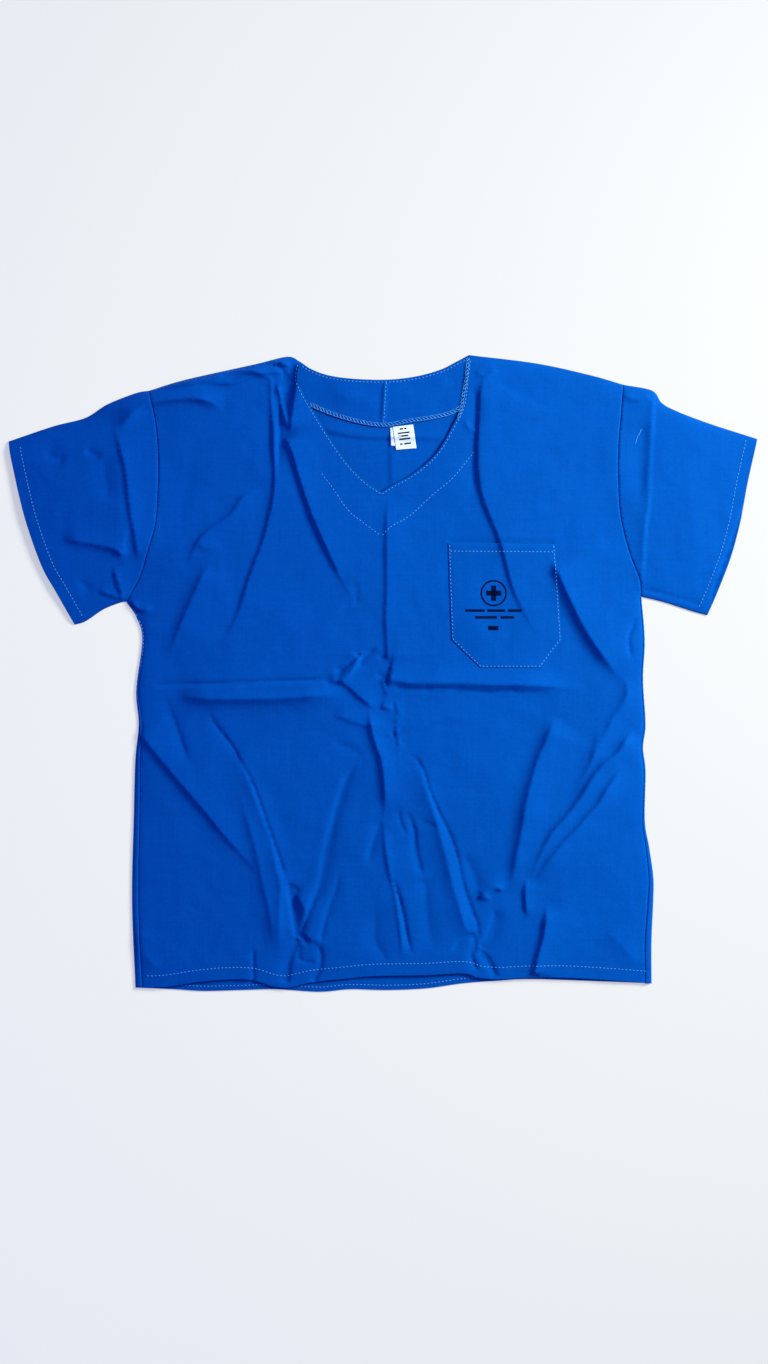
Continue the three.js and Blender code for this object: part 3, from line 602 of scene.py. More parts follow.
class Top:
    """The upper face of some pieces, for what is sewn on to them."""

    def __init__(self, *pieces):
        points, faces = [], []
        for made in pieces:
            start = len(points)
            points += [v.co / MM for v in made.data.vertices]
            faces += [[start + i for i in f.vertices] for f in made.data.polygons]
        self.tree = BVHTree.FromPolygons(points, faces)

    def heights(self, xy):
        """Height of the face under each point. Beyond its rim, the usual height."""
        found = [self.tree.ray_cast(Vector((x, y, 60)), Vector((0, 0, -1)))[0] for x, y in xy]
        known = [p.z for p in found if p is not None]
        usual = sum(known) / max(len(known), 1)
        return np.array([usual if p is None else p.z for p in found])


# ---- Threads ----
RING = 6
RING_TURN = np.arange(RING) * 2 * math.pi / RING
RING_COS = np.cos(RING_TURN)[None, :, None]
RING_SIN = np.sin(RING_TURN)[None, :, None]


def tubes(lines, radii):
    """Closed round tubes along lines of points, each with one radius for each point."""
    points, faces = [], []
    for line, radius in zip(lines, radii):
        line = np.asarray(line, float)
        along = np.gradient(line, axis=0)
        along /= np.maximum(np.linalg.norm(along, axis=1), 1e-9)[:, None]
        side = np.cross(along, (0, 0, 1))
        side /= np.maximum(np.linalg.norm(side, axis=1), 1e-9)[:, None]
        up = np.cross(side, along)
        round_it = RING_COS * side[:, None] + RING_SIN * up[:, None]
        ring = line[:, None] + radius[:, None, None] * round_it
        start = sum(len(p) for p in points)
        points.append(np.vstack([ring.reshape(-1, 3), line[:1], line[-1:]]))
        count = len(line)
        for i in range(count - 1):
            for k in range(RING):
                a, b = start + i * RING + k, start + i * RING + (k + 1) % RING
                faces.append((a, b, b + RING))
                faces.append((a, b + RING, a + RING))
        first, last = start + count * RING, start + count * RING + 1
        for k in range(RING):
            faces.append((first, start + (k + 1) % RING, start + k))
            faces.append((last, first - RING + k, first - RING + (k + 1) % RING))
    return np.vstack(points), np.array(faces)


OVERLOCK_PITCH = 4.2
STITCH_AT = np.array([0.0, 0.15, 0.5, 0.85, 1.0])
STITCH_GIRTH = np.array([0.35, 0.85, 1.0, 0.85, 0.35])
STITCH_RISE = np.array([-0.7, 0.3, 0.6, 0.3, -0.7])


def sewn_rows(name, rows, surface, sunk=0.0):
    """Rows of separate stitches that lie on a surface, each stitch dipping into the cloth at its ends."""
    sizes = bpy.context.scene.gown_sizes
    radius, length = sizes.thread, sizes.stitch
    pitch = length + sizes.stitch_gap
    ends = []
    for row in rows:
        run = np.r_[0, np.cumsum(np.hypot(*np.diff(row, axis=0).T))]
        at = np.arange(0.3, run[-1] - length, pitch)
        start = np.c_[np.interp(at, run, row[:, 0]), np.interp(at, run, row[:, 1])]
        end = np.c_[np.interp(at + length, run, row[:, 0]), np.interp(at + length, run, row[:, 1])]
        ends.append(np.hstack([start, end]))
    ends = np.vstack(ends)
    xy = ends[:, None, :2] + STITCH_AT[None, :, None] * (ends[:, None, 2:] - ends[:, None, :2])
    z = surface.heights(xy.reshape(-1, 2)).reshape(len(ends), -1) + radius * STITCH_RISE - sunk
    lines = np.dstack([xy, z])
    points, faces = tubes(lines, [radius * STITCH_GIRTH] * len(lines))
    return piece(name, points, faces, thread_material())


def overlock(name, line, surface, width):
    """An overlocked edge: slanting stitches across a band, with a looped thread along each side."""
    radius = bpy.context.scene.gown_sizes.thread
    middle = respaced(line, OVERLOCK_PITCH)
    inner, outer = moved(middle, width / 2), moved(middle, -width / 2)
    lines, radii = [], []
    for i in range(len(inner) - 1):
        xy = inner[i] + np.linspace(0, 1, 4)[:, None] * (outer[i + 1] - inner[i])
        lines.append(np.c_[xy, surface.heights(xy) + radius * np.array([0.2, 1.0, 1.0, 0.2])])
        radii.append(radius * np.array([0.5, 0.95, 0.95, 0.5]))
    for edge in (inner, outer):
        lines.append(np.c_[edge, surface.heights(edge) + radius])
        radii.append(radius * (0.5 + 0.25 * np.cos(np.arange(len(edge)) * math.pi)))
    points, faces = tubes(lines, radii)
    return piece(name, points, faces, thread_material())


# ---- Shader groups shared by the materials ----
def new_group(name, inputs, outputs):
    """A new shader group, with its input and output nodes."""
    group = bpy.data.node_groups.new(name, "ShaderNodeTree")
    for title, kind, default in inputs:
        socket = group.interface.new_socket(title, in_out="INPUT", socket_type=kind)
        socket.default_value = default
    for title, kind in outputs:
        group.interface.new_socket(title, in_out="OUTPUT", socket_type=kind)
    return group, group.nodes.new("NodeGroupInput"), group.nodes.new("NodeGroupOutput")


def math_node(tree, operation, a, b=None, clamp=False):
    """A sum of one or two values, each a number or a socket."""
    node = tree.nodes.new("ShaderNodeMath")
    node.operation = operation
    node.use_clamp = clamp
    for socket, value in zip(node.inputs, (a, b)):
        if value is None:
            continue
        if isinstance(value, bpy.types.NodeSocket):
            tree.links.new(value, socket)
        else:
            socket.default_value = value
    return node.outputs[0]


def scaled_plus(tree, value, share, base):
    """The value times share, plus base."""
    return math_node(tree, "ADD", math_node(tree, "MULTIPLY", value, share), base)


def spread_node(tree, value, low, high):
    """The value spread so that low gives 0 and high gives 1."""
    node = tree.nodes.new("ShaderNodeMapRange")
    node.inputs["From Min"].default_value = low
    node.inputs["From Max"].default_value = high
    tree.links.new(value, node.inputs["Value"])
    return node.outputs["Result"]


def noise_node(tree, vector, scale, detail=2.0, rough=0.5):
    """Noise at a scale."""
    node = tree.nodes.new("ShaderNodeTexNoise")
    node.inputs["Scale"].default_value = scale
    node.inputs["Detail"].default_value = detail
    node.inputs["Roughness"].default_value = rough
    tree.links.new(vector, node.inputs["Vector"])
    return node.outputs["Fac"]


def stretched(tree, vector, scale):
    """The vector times a scale for each axis."""
    node = tree.nodes.new("ShaderNodeVectorMath")
    node.operation = "MULTIPLY"
    node.inputs[1].default_value = scale
    tree.links.new(vector, node.inputs[0])
    return node.outputs[0]


def weave_group():
    """Plain weave: over-and-under threads, with thicker and thinner yarns among them."""
    found = bpy.data.node_groups.get("Plain weave")
    if found:
        return found
    group, given, out = new_group(
        "Plain weave",
        [("Vector", "NodeSocketVector", (0, 0, 0)), ("Threads per metre", "NodeSocketFloat", 2200.0),
         ("Yarn variation", "NodeSocketFloat", 0.5)],
        [("Height", "NodeSocketFloat"), ("Yarn shade", "NodeSocketFloat")],
    )
    split = group.nodes.new("ShaderNodeSeparateXYZ")
    group.links.new(given.outputs["Vector"], split.inputs[0])
    half_turn = math_node(group, "MULTIPLY", given.outputs["Threads per metre"], math.pi)
    warp = math_node(group, "SINE", math_node(group, "MULTIPLY", split.outputs["X"], half_turn))
    weft = math_node(group, "SINE", math_node(group, "MULTIPLY", split.outputs["Y"], half_turn))
    crossing = math_node(group, "MULTIPLY", warp, weft)
    long_yarn = noise_node(group, stretched(group, given.outputs["Vector"], (900, 14, 14)), 1.0, 1.0)
    cross_yarn = noise_node(group, stretched(group, given.outputs["Vector"], (14, 900, 14)), 1.0, 1.0)
    yarn = math_node(group, "ADD", long_yarn, cross_yarn)
    uneven = math_node(group, "MULTIPLY", yarn, given.outputs["Yarn variation"])
    group.links.new(math_node(group, "ADD", crossing, uneven), out.inputs["Height"])
    group.links.new(math_node(group, "MULTIPLY", yarn, 0.5), out.inputs["Yarn shade"])
    return group


def crumple_group():
    """Small soft wrinkles of handled cloth, with a few sharp ones among them."""
    found = bpy.data.node_groups.get("Crumple")
    if found:
        return found
    group, given, out = new_group(
        "Crumple",
        [("Vector", "NodeSocketVector", (0, 0, 0)), ("Size", "NodeSocketFloat", 22.0),
         ("Sharp wrinkles", "NodeSocketFloat", 0.5)],
        [("Height", "NodeSocketFloat")],
    )
    soft = group.nodes.new("ShaderNodeTexNoise")
    soft.inputs["Detail"].default_value = 4.0
    soft.inputs["Distortion"].default_value = 0.6
    sharp = group.nodes.new("ShaderNodeTexNoise")
    sharp.noise_type = "RIDGED_MULTIFRACTAL"
    sharp.inputs["Detail"].default_value = 2.0
    for node in (soft, sharp):
        group.links.new(given.outputs["Vector"], node.inputs["Vector"])
        group.links.new(given.outputs["Size"], node.inputs["Scale"])
    ridge = math_node(group, "MULTIPLY", sharp.outputs["Fac"], given.outputs["Sharp wrinkles"])
    group.links.new(math_node(group, "ADD", soft.outputs["Fac"], ridge), out.inputs["Height"])
    return group


def new_material(name):
    """A new material: itself, its tree, its shader and the place on the object."""
    material = bpy.data.materials.new(name)
    material.use_nodes = True
    tree = material.node_tree
    coordinates = tree.nodes.new("ShaderNodeTexCoord")
    return material, tree, tree.nodes["Principled BSDF"], coordinates.outputs["Object"]


def group_node(tree, group, vector, **values):
    """A shader group in a material, with its values."""
    node = tree.nodes.new("ShaderNodeGroup")
    node.node_tree = group
    tree.links.new(vector, node.inputs["Vector"])
    for title, value in values.items():
        node.inputs[title.replace("_", " ")].default_value = value
    return node


def bump_node(tree, height, distance, strength, before=None):
    """Relief from a height, on top of the relief before it."""
    node = tree.nodes.new("ShaderNodeBump")
    node.inputs["Distance"].default_value = distance
    node.inputs["Strength"].default_value = strength
    tree.links.new(height, node.inputs["Height"])
    if before:
        tree.links.new(before, node.inputs["Normal"])
    return node.outputs["Normal"]


def shaded_between(tree, factor, dark, light):
    """A colour between two others."""
    node = tree.nodes.new("ShaderNodeMix")
    node.data_type = "RGBA"
    node.inputs["A"].default_value = (*dark, 1)
    node.inputs["B"].default_value = (*light, 1)
    tree.links.new(factor, node.inputs["Factor"])
    return node.outputs["Result"]


def times(colour, amount):
    """A colour made darker or lighter, no channel over 1."""
    return tuple(min(c * amount, 1) for c in colour)


def painted_shade_across(tree, place, colour):
    """Painted shade: a slow change of the colour across the garment, deeper towards the wearer's right.

    The dye itself is even. This stands in for the light, which falls off to that side.
    """
    split = tree.nodes.new("ShaderNodeSeparateXYZ")
    tree.links.new(place, split.inputs[0])
    share = spread_node(tree, split.outputs["X"], -0.4, 0.15)
    deeper = shaded_between(tree, share, (0.9, 0.76, 0.93), (1.0, 1.0, 1.0))
    scaled = tree.nodes.new("ShaderNodeVectorMath")
    scaled.operation = "MULTIPLY"
    tree.links.new(colour, scaled.inputs[0])
    tree.links.new(deeper, scaled.inputs[1])
    return scaled.outputs["Vector"]


def cloth_material():
    """Matt plain-weave poly-cotton, in royal blue."""
    found = bpy.data.materials.get("gown_cloth")
    if found:
        return found
    colour = bpy.context.scene.gown_colours.cloth
    material, tree, shader, place = new_material("gown_cloth")
    weave = group_node(tree, weave_group(), place, Threads_per_metre=2200.0, Yarn_variation=0.6)
    crumple = group_node(tree, crumple_group(), place, Size=26.0, Sharp_wrinkles=0.35)
    drift = noise_node(tree, place, 9.0, 3.0)
    mottle = noise_node(tree, place, 300.0, 3.0, 0.7)
    uneven = scaled_plus(tree, drift, 0.2, math_node(tree, "MULTIPLY", mottle, 0.4))
    shade = scaled_plus(tree, weave.outputs["Yarn shade"], 0.4, uneven)
    share = spread_node(tree, shade, 0.36, 0.64)
    dyed = shaded_between(tree, share, times(colour, 0.85), times(colour, 1.13))
    # Painted shade: the cloth's colour is made deeper towards the wearer's right, for the light's fall-off to
    # that side.
    tree.links.new(painted_shade_across(tree, place, dyed), shader.inputs["Base Color"])
    tree.links.new(scaled_plus(tree, mottle, 0.16, 0.74), shader.inputs["Roughness"])
    wrinkled = bump_node(tree, crumple.outputs["Height"], 0.0011, 0.6)
    tree.links.new(bump_node(tree, weave.outputs["Height"], 0.00004, 0.5, wrinkled), shader.inputs["Normal"])
    shader.inputs["Specular IOR Level"].default_value = 0.16
    shader.inputs["Specular Tint"].default_value = (0.02, 0.4, 1.0, 1)
    shader.inputs["Sheen Weight"].default_value = 0.05
    shader.inputs["Sheen Roughness"].default_value = 0.45
    shader.inputs["Sheen Tint"].default_value = (0.01, 0.3, 1.0, 1)
    return material


def thread_material():
    """Spun sewing thread, paler than the cloth, with its twist."""
    found = bpy.data.materials.get("gown_thread")
    if found:
        return found
    colour = bpy.context.scene.gown_colours.thread
    material, tree, shader, place = new_material("gown_thread")
    twist = tree.nodes.new("ShaderNodeTexWave")
    twist.bands_direction = "DIAGONAL"
    twist.inputs["Scale"].default_value = 900.0
    twist.inputs["Distortion"].default_value = 1.5
    tree.links.new(place, twist.inputs["Vector"])
    fibre = noise_node(tree, place, 2400.0, 2.0)
    shade = math_node(tree, "MULTIPLY", math_node(tree, "ADD", twist.outputs["Fac"], fibre), 0.5)
    spun = shaded_between(tree, shade, times(colour, 0.75), times(colour, 1.15))
    tree.links.new(spun, shader.inputs["Base Color"])
    tree.links.new(scaled_plus(tree, fibre, 0.2, 0.5), shader.inputs["Roughness"])
    tree.links.new(bump_node(tree, twist.outputs["Fac"], 0.00008, 0.6), shader.inputs["Normal"])
    shader.inputs["Specular IOR Level"].default_value = 0.1
    return material


def tape_material():
    """Pale woven satin tape, a little creased."""
    found = bpy.data.materials.get("gown_label_tape")
    if found:
        return found
    colour = bpy.context.scene.gown_colours.tape
    material, tree, shader, place = new_material("gown_label_tape")
    weave = group_node(tree, weave_group(), place, Threads_per_metre=3600.0, Yarn_variation=0.4)
    crumple = group_node(tree, crumple_group(), place, Size=90.0, Sharp_wrinkles=0.2)
    woven = shaded_between(tree, weave.outputs["Yarn shade"], times(colour, 0.93), times(colour, 1.06))
    tree.links.new(woven, shader.inputs["Base Color"])
    tree.links.new(scaled_plus(tree, crumple.outputs["Height"], 0.15, 0.45), shader.inputs["Roughness"])
    wrinkled = bump_node(tree, crumple.outputs["Height"], 0.0003, 0.5)
    tree.links.new(bump_node(tree, weave.outputs["Height"], 0.00003, 0.5, wrinkled), shader.inputs["Normal"])
    return material


def ink_material():
    """Near-black textile ink that has soaked into the weave."""
    found = bpy.data.materials.get("gown_ink")
    if found:
        return found
    ink, cloth = bpy.context.scene.gown_colours.ink, bpy.context.scene.gown_colours.cloth
    material, tree, shader, place = new_material("gown_ink")
    weave = group_node(tree, weave_group(), place, Threads_per_metre=2200.0, Yarn_variation=0.6)
    worn = noise_node(tree, place, 900.0, 3.0, 0.7)
    thin = math_node(tree, "MULTIPLY", math_node(tree, "SUBTRACT", worn, 0.52, True), 2.4, True)
    tree.links.new(shaded_between(tree, thin, tuple(ink), times(cloth, 0.4)), shader.inputs["Base Color"])
    tree.links.new(scaled_plus(tree, worn, 0.2, 0.7), shader.inputs["Roughness"])
    tree.links.new(bump_node(tree, weave.outputs["Height"], 0.00004, 0.5), shader.inputs["Normal"])
    shader.inputs["Specular IOR Level"].default_value = 0.12
    shader.inputs["Specular Tint"].default_value = (0.02, 0.2, 1.0, 1)
    return material


# ---- Outlines of the cut pieces ----
def fold_detail():
    """The lines near which the cloth needs fine detail."""
    return np.vstack([smooth(f[4], 4) for f in FOLDS if abs(f[1]) > 1.3] + [SEAM_LINES])


def fold_crests():
    """The lines of the sharper folds, along which the mesh has its edges."""
    return [smooth(f[4], 2.2) for f in FOLDS if min(f[2], f[3]) < 9]


def front_outline():
    """Round the front panel, from its neck."""
    left, right = sides_of_body()
    return closed(smooth(NECK_RIGHT), smooth(NECK_LEFT)[1:], smooth(SHOULDER_LEFT)[1:],
                  smooth(ARMHOLE_LEFT)[1:-1], left, smooth(HEM_FRONT)[4:-1][::-1], right,
                  smooth(ARMHOLE_RIGHT)[1:], smooth(SHOULDER_RIGHT)[1:])


def back_outline():
    """Round the back panel, from its neck."""
    return closed(smooth(NECK_BACK), smooth(SHOULDER_LEFT)[1:], smooth(ARMHOLE_LEFT)[1:],
                  smooth(SIDE_LEFT)[1:], smooth(HEM_BACK)[::-1][1:], smooth(SIDE_RIGHT)[1:],
                  smooth(ARMHOLE_RIGHT)[1:], smooth(SHOULDER_RIGHT)[1:])


def sleeve_outline(side):
    """Round a folded sleeve, from its top."""
    if side == "left":
        return closed(smooth(SLEEVE_TOP_LEFT), smooth(CUFF_LEFT)[1:], smooth(UNDER_LEFT)[1:],
                      smooth(ARMHOLE_LEFT)[::-1][1:])
    return closed(smooth(SLEEVE_TOP_RIGHT), smooth(ARMHOLE_RIGHT)[::-1][1:], smooth(UNDER_RIGHT)[1:],
                  smooth(CUFF_RIGHT)[1:])


def dress(made, slot, *nodes):
    """Hides the CAD nodes that a piece stands for; the finish it is given is not used."""
    if nodes:
        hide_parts(*nodes)


def find(name):
    """A piece that another operator has made."""
    made = bpy.data.objects.get(name)
    if made is None:
        raise RuntimeError(f"{name} isn't made yet: run its operator first")
    return made


def side_return(outline_line, seam_line):
    """The strip of the back panel that comes round the side, up to the seam on top."""
    count = min(len(outline_line), len(seam_line))
    steps = np.linspace(0, 1, 6)
    rows = [outline_line[:count] + s * (seam_line[:count] - outline_line[:count]) for s in steps]
    xy = np.vstack(rows)
    top = front_height(xy)
    z = np.concatenate([np.full(count, CLOSED_EDGE_HEIGHT), top[count:] + 0.1])
    return lying(xy, z), grid_faces(len(steps), count)


# ---- Operators: the pieces ----
class GOWN_OT_back_panel(bpy.types.Operator):
    """Cut the back panel, which wraps round the sides to meet the front"""
    bl_idname = "gown.back_panel"
    bl_label = "Back Panel"

    def execute(self, context):
        sizes = context.scene.gown_sizes
        detail = np.vstack([smooth(f[4], 4) for f in BACK_FOLDS] + [CLOSED_EDGES[::2]])
        xy, faces = flat_mesh(back_outline(), detail, 3.0)
        points = lying(xy, back_height(xy))
        left_edge, right_edge = smooth(SIDE_LEFT), smooth(SIDE_RIGHT)
        left_seam, right_seam = sides_of_body()
        count = len(points)
        strips = [side_return(left_edge, left_seam), side_return(right_edge, right_seam)]
        for strip_points, strip_faces in strips:
            a, b, c = (strip_points[strip_faces[0, k]] for k in range(3))
            if np.cross(b - a, c - a)[2] < 0:
                strip_faces = strip_faces[:, ::-1]
            faces = np.vstack([faces, strip_faces[:, ::-1] + count])
            points = np.vstack([points, strip_points])
            count = len(points)
        points, faces = welded(points, faces, 0.05)
        points, faces = thickened(points, faces, sizes.cloth)
        made = piece("back_panel_cloth", points, faces, cloth_material())
        dress(made, "cloth", "back_panel")
        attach(made, "torso")
        return {"FINISHED"}


class GOWN_OT_back_facing(bpy.types.Operator):
    """Sew the facing inside the back of the neck, in two halves"""
    bl_idname = "gown.back_facing"
    bl_label = "Back Neck Facing"

    def execute(self, context):
        sizes = context.scene.gown_sizes
        whole = closed(moved(smooth(NECK_BACK), -0.8), smooth(FACING_LOWER)[::-1])
        seam = smooth(FACING_SEAM)
        for side in ("right", "left"):
            sign = -1 if side == "right" else 1
            xy, faces = flat_mesh(whole, np.vstack([seam, smooth(FACING_LOWER)]), 2.0)
            middle = np.interp(xy[:, 1], seam[::-1, 1], seam[::-1, 0])
            keep = (sign * (xy[faces].mean(1)[:, 0] - middle[faces].mean(1))) > 0
            faces = faces[keep]
            off_seam = np.abs(xy[:, 0] - middle)
            z = back_height(xy) + 1.0 + 0.5 * np.exp(-(off_seam / 1.6) ** 2)
            z += 0.5 * waves(xy, 30, 2.2) + 0.4
            z += fold_heights(xy, [("facing_slack", 1.3, 12, 12, [(-70, 338), (-30, 322), (0, 320)]),
                                   ("facing_slack_b", 1.0, 10, 14, [(20, 322), (52, 330), (82, 348)])])
            points, faces = without_spares(lying(xy, z), faces)
            points, faces = thickened(points, faces, sizes.cloth)
            made = piece(f"{side}_back_facing_cloth", points, faces, cloth_material())
            dress(made, "cloth", f"{side}_back_facing")
            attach(made, "torso")
        return {"FINISHED"}


TAPE_THICKNESS = 0.22
LABEL_SEAM = 290
LABEL_DEPTH = 28
BAR_ORIGIN = np.array([12.0, 290.0])
BAR_ACROSS = np.array([24.0, 2.9]) / 24.2
BAR_DOWN = np.array([3.6, -27.0]) / 27.2
BAR_WIDTH = 1.8
BAR_POINTS = 20
# Each bar's depth below the label's seam, its left end and its right end.
BARS = (
    (2.6, 8, 12), (2.6, 13.5, 16), (7.6, 5, 19), (11.2, 5, 17), (14.8, 6, 19), (20.4, 6, 9), (20.4, 11, 19),
)
INK_LIFT = 0.12


def turn_up(made):
    """Bakes a label's placement into its mesh."""
    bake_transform(made)


class GOWN_OT_labels(bpy.types.Operator):
    """Cut the care label and the size label behind it, with their plain grey bars"""
    bl_idname = "gown.labels"
    bl_label = "Labels"

    def execute(self, context):
        level = Top(find("back_panel_cloth"))
        for name, corners, lift in (("size_label", SIZE_LABEL, 0.4), ("care_label", CARE_LABEL, 0.8)):
            xy, faces = flat_mesh(closed(straight(corners + corners[:1], 1.5)), (), 1.2)
            along = (LABEL_SEAM - xy[:, 1]) / LABEL_DEPTH
            z = level.heights(xy) + lift + 0.5 * np.sin(along * 2.6) + 0.12 * waves(xy, 9, lift)
            points, faces = thickened(lying(xy, z), faces, TAPE_THICKNESS)
            made = piece(f"{name}_tape", points, faces, tape_material())
            dress(made, "label_tape", name)
            turn_up(made)
        self.bars()
        return {"FINISHED"}

    def bars(self):
        """Plain bars where a label has its print."""
        top = Top(find("care_label_tape"))
        points, faces = [], []
        for depth, left, right in BARS:
            steps = np.linspace(left, right, BAR_POINTS)
            xy = np.vstack([BAR_ORIGIN + BAR_ACROSS * s + BAR_DOWN * d
                            for d in (depth, depth + BAR_WIDTH) for s in steps])
            start = sum(len(p) for p in points)
            below = start + BAR_POINTS
            points.append(np.c_[xy, top.heights(xy) + INK_LIFT])
            faces += [(start + i, below + i, below + 1 + i) for i in range(BAR_POINTS - 1)]
            faces += [(start + i, below + 1 + i, start + 1 + i) for i in range(BAR_POINTS - 1)]
        points, faces = thickened(np.vstack(points), np.array(faces), 0.06)
        made = piece("care_label_bars", points, faces, ink_material())
        dress(made, "print")
        turn_up(made)


class GOWN_OT_front_facing(bpy.types.Operator):
    """Sew the facing inside the front's V, in two halves"""
    bl_idname = "gown.front_facing"
    bl_label = "Front Neck Facing"

    def execute(self, context):
        sizes = context.scene.gown_sizes
        halves = (("right", NECK_RIGHT, FACING_ROW_RIGHT), ("left", NECK_LEFT, FACING_ROW_LEFT))
        for side, edge, row in halves:
            inner, outer = smooth(edge), smooth(row)
            if side == "left":
                outer = np.vstack([outer, [[126, 345], [128, 369]]])
            else:
                outer = np.vstack([[[-127, 366]], outer])
            outline = closed(inner, outer[::-1])
            xy, faces = flat_mesh(outline, (), 2.2)
            z = front_height(xy) - sizes.cloth - 0.35
            points, faces = thickened(lying(xy, z), faces, sizes.cloth * 0.8)
            made = piece(f"{side}_front_facing_cloth", points, faces, cloth_material())
            dress(made, "cloth", f"{side}_front_facing")
            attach(made, "torso")
        return {"FINISHED"}


class GOWN_OT_front_panel(bpy.types.Operator):
    """Cut the front panel and lay it in its folds"""
    bl_idname = "gown.front_panel"
    bl_label = "Front Panel"

    def execute(self, context):
        sizes = context.scene.gown_sizes
        xy, faces = flat_mesh(front_outline(), fold_detail(), creases=fold_crests())
        points, faces = thickened(lying(xy, front_height(xy)), faces, sizes.cloth)
        made = piece("front_panel_cloth", points, faces, cloth_material())
        dress(made, "cloth", "front_panel")
        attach(made, "torso")
        return {"FINISHED"}


class GOWN_OT_sleeves(bpy.types.Operator):
    """Cut both sleeves, each one piece folded along its top"""
    bl_idname = "gown.sleeves"
    bl_label = "Sleeves"

    def execute(self, context):
        sizes = context.scene.gown_sizes
        for side in ("left", "right"):
            outline = sleeve_outline(side)
            xy, faces = flat_mesh(outline, fold_detail(), 2.6, fold_crests())
            upper, lower = lying(xy, front_height(xy)), lying(xy, back_height(xy))
            count = len(upper)
            points = np.vstack([upper, lower])
            faces = np.vstack([faces, faces[:, ::-1] + count])
            points, faces = welded(points, faces, 0.05)
            points, faces = thickened(points, faces, sizes.cloth)
            made = piece(f"{side}_sleeve_cloth", points, faces, cloth_material())
            dress(made, "cloth", f"{side}_sleeve")
            bend(made, side)
        return {"FINISHED"}


def bend(made, side):
    """Looks up the sleeve's fold joint and bakes the piece's placement into its mesh."""
    hinge = next(j for j in frame["joints"] if j["name"] == f"{side}_sleeve_fold")
    centre, axis = Vector(hinge["pos_m"]), Vector(hinge["axis"])
    outwards = axis.cross(Vector((0, 0, 1))).normalized()
    if (outwards.x > 0) != (side == "left"):
        outwards = -outwards
    centre.z = 0
    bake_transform(made)


class GOWN_OT_pocket(bpy.types.Operator):
    """Cut the chest pocket and lay it on the front, open at its mouth"""
    bl_idname = "gown.pocket"
    bl_label = "Chest Pocket"

    def execute(self, context):
        sizes = context.scene.gown_sizes
        sewn = straight(POCKET)
        outline = closed(sewn, straight([POCKET[-1], POCKET[0]])[1:-1])
        near = [smooth(f[4], 4) for f in FOLDS if f[0] in ("chest_left_long", "side_wedge")]
        detail = np.vstack(near + [sewn])
        xy, faces = flat_mesh(outline, detail, 2.0)
        edge = nearest_distance(xy, sewn)
        z = front_height(xy) + 0.75 + 0.7 * (1 - np.exp(-edge / 12)) - 0.35 * np.exp(-(edge / 1.2) ** 2)
        points, faces = thickened(lying(xy, z), faces, sizes.cloth)
        made = piece("chest_pocket_cloth", points, faces, cloth_material())
        dress(made, "cloth", "chest_pocket")
        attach(made, "torso")
        return {"FINISHED"}


MARK_CENTRE = np.array([131.0, 94.0])
# Each bar's centre, half its width and half its height.
MARK_BARS = (
    (109, 73.5, 11.5, 1.5), (134, 73.5, 10.5, 1.5), (156, 73.5, 8, 1.5),
    (122, 65.5, 13, 1.5), (147, 65.5, 8, 1.5), (130.5, 53, 6, 2.6),
)
RING_STEPS = 64


class GOWN_OT_print(bpy.types.Operator):
    """Print a plain mark on the pocket: a ring round a cross, over plain bars"""
    bl_idname = "gown.print"
    bl_label = "Pocket Print"

    def execute(self, context):
        top = Top(find("chest_pocket_cloth"))
        ring = self.ring(MARK_CENTRE, 15.5, 13.6)
        shapes = [ring, self.block(MARK_CENTRE, 3.0, 9.0), self.block(MARK_CENTRE, 9.0, 3.0)]
        for x, y, half_width, half_height in MARK_BARS:
            shapes.append(self.block(np.array([x, y]), half_width, half_height))
        points, faces = [], []
        for xy, triangles in shapes:
            start = sum(len(p) for p in points)
            points.append(np.c_[xy, top.heights(xy) + INK_LIFT])
            faces.append(triangles + start)
        points, faces = thickened(np.vstack(points), np.vstack(faces), 0.1)
        made = piece("pocket_print_ink", points, faces, ink_material())
        dress(made, "print", "pocket_print")
        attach(made, "torso")
        return {"FINISHED"}

    @staticmethod
    def block(centre, half_width, half_height):
        """A flat rectangle as a grid of points and its triangles."""
        xs = np.linspace(-half_width, half_width, max(int(half_width * 2 / 1.5), 3) + 1)
        ys = np.linspace(-half_height, half_height, max(int(half_height * 2 / 1.5), 2) + 1)
        x, y = np.meshgrid(xs, ys)
        xy = centre + np.c_[x.ravel(), y.ravel()]
        return xy, grid_faces(len(ys), len(xs))

    @staticmethod
    def ring(centre, outer, inner):
        """A flat ring as three circles of points and their triangles."""
        turn = np.linspace(0, 2 * math.pi, RING_STEPS, endpoint=False)
        way = np.c_[np.cos(turn), np.sin(turn)]
        xy = np.vstack([centre + way * r for r in np.linspace(inner, outer, 3)])
        faces = []
        for k in range(2):
            for i in range(RING_STEPS):
                a, b = k * RING_STEPS + i, k * RING_STEPS + (i + 1) % RING_STEPS
                faces += [(a, a + RING_STEPS, b + RING_STEPS), (a, b + RING_STEPS, b)]
        return xy, np.array(faces)


# ---- Operators: the sewing ----
def sew(name, rows, surface, body, *nodes, **how):
    """Rows of stitches as one piece that rides on a body, if one is given."""
    made = sewn_rows(name, rows, surface, **how)
    dress(made, "thread", *nodes)
    if body:
        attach(made, body)
    return made


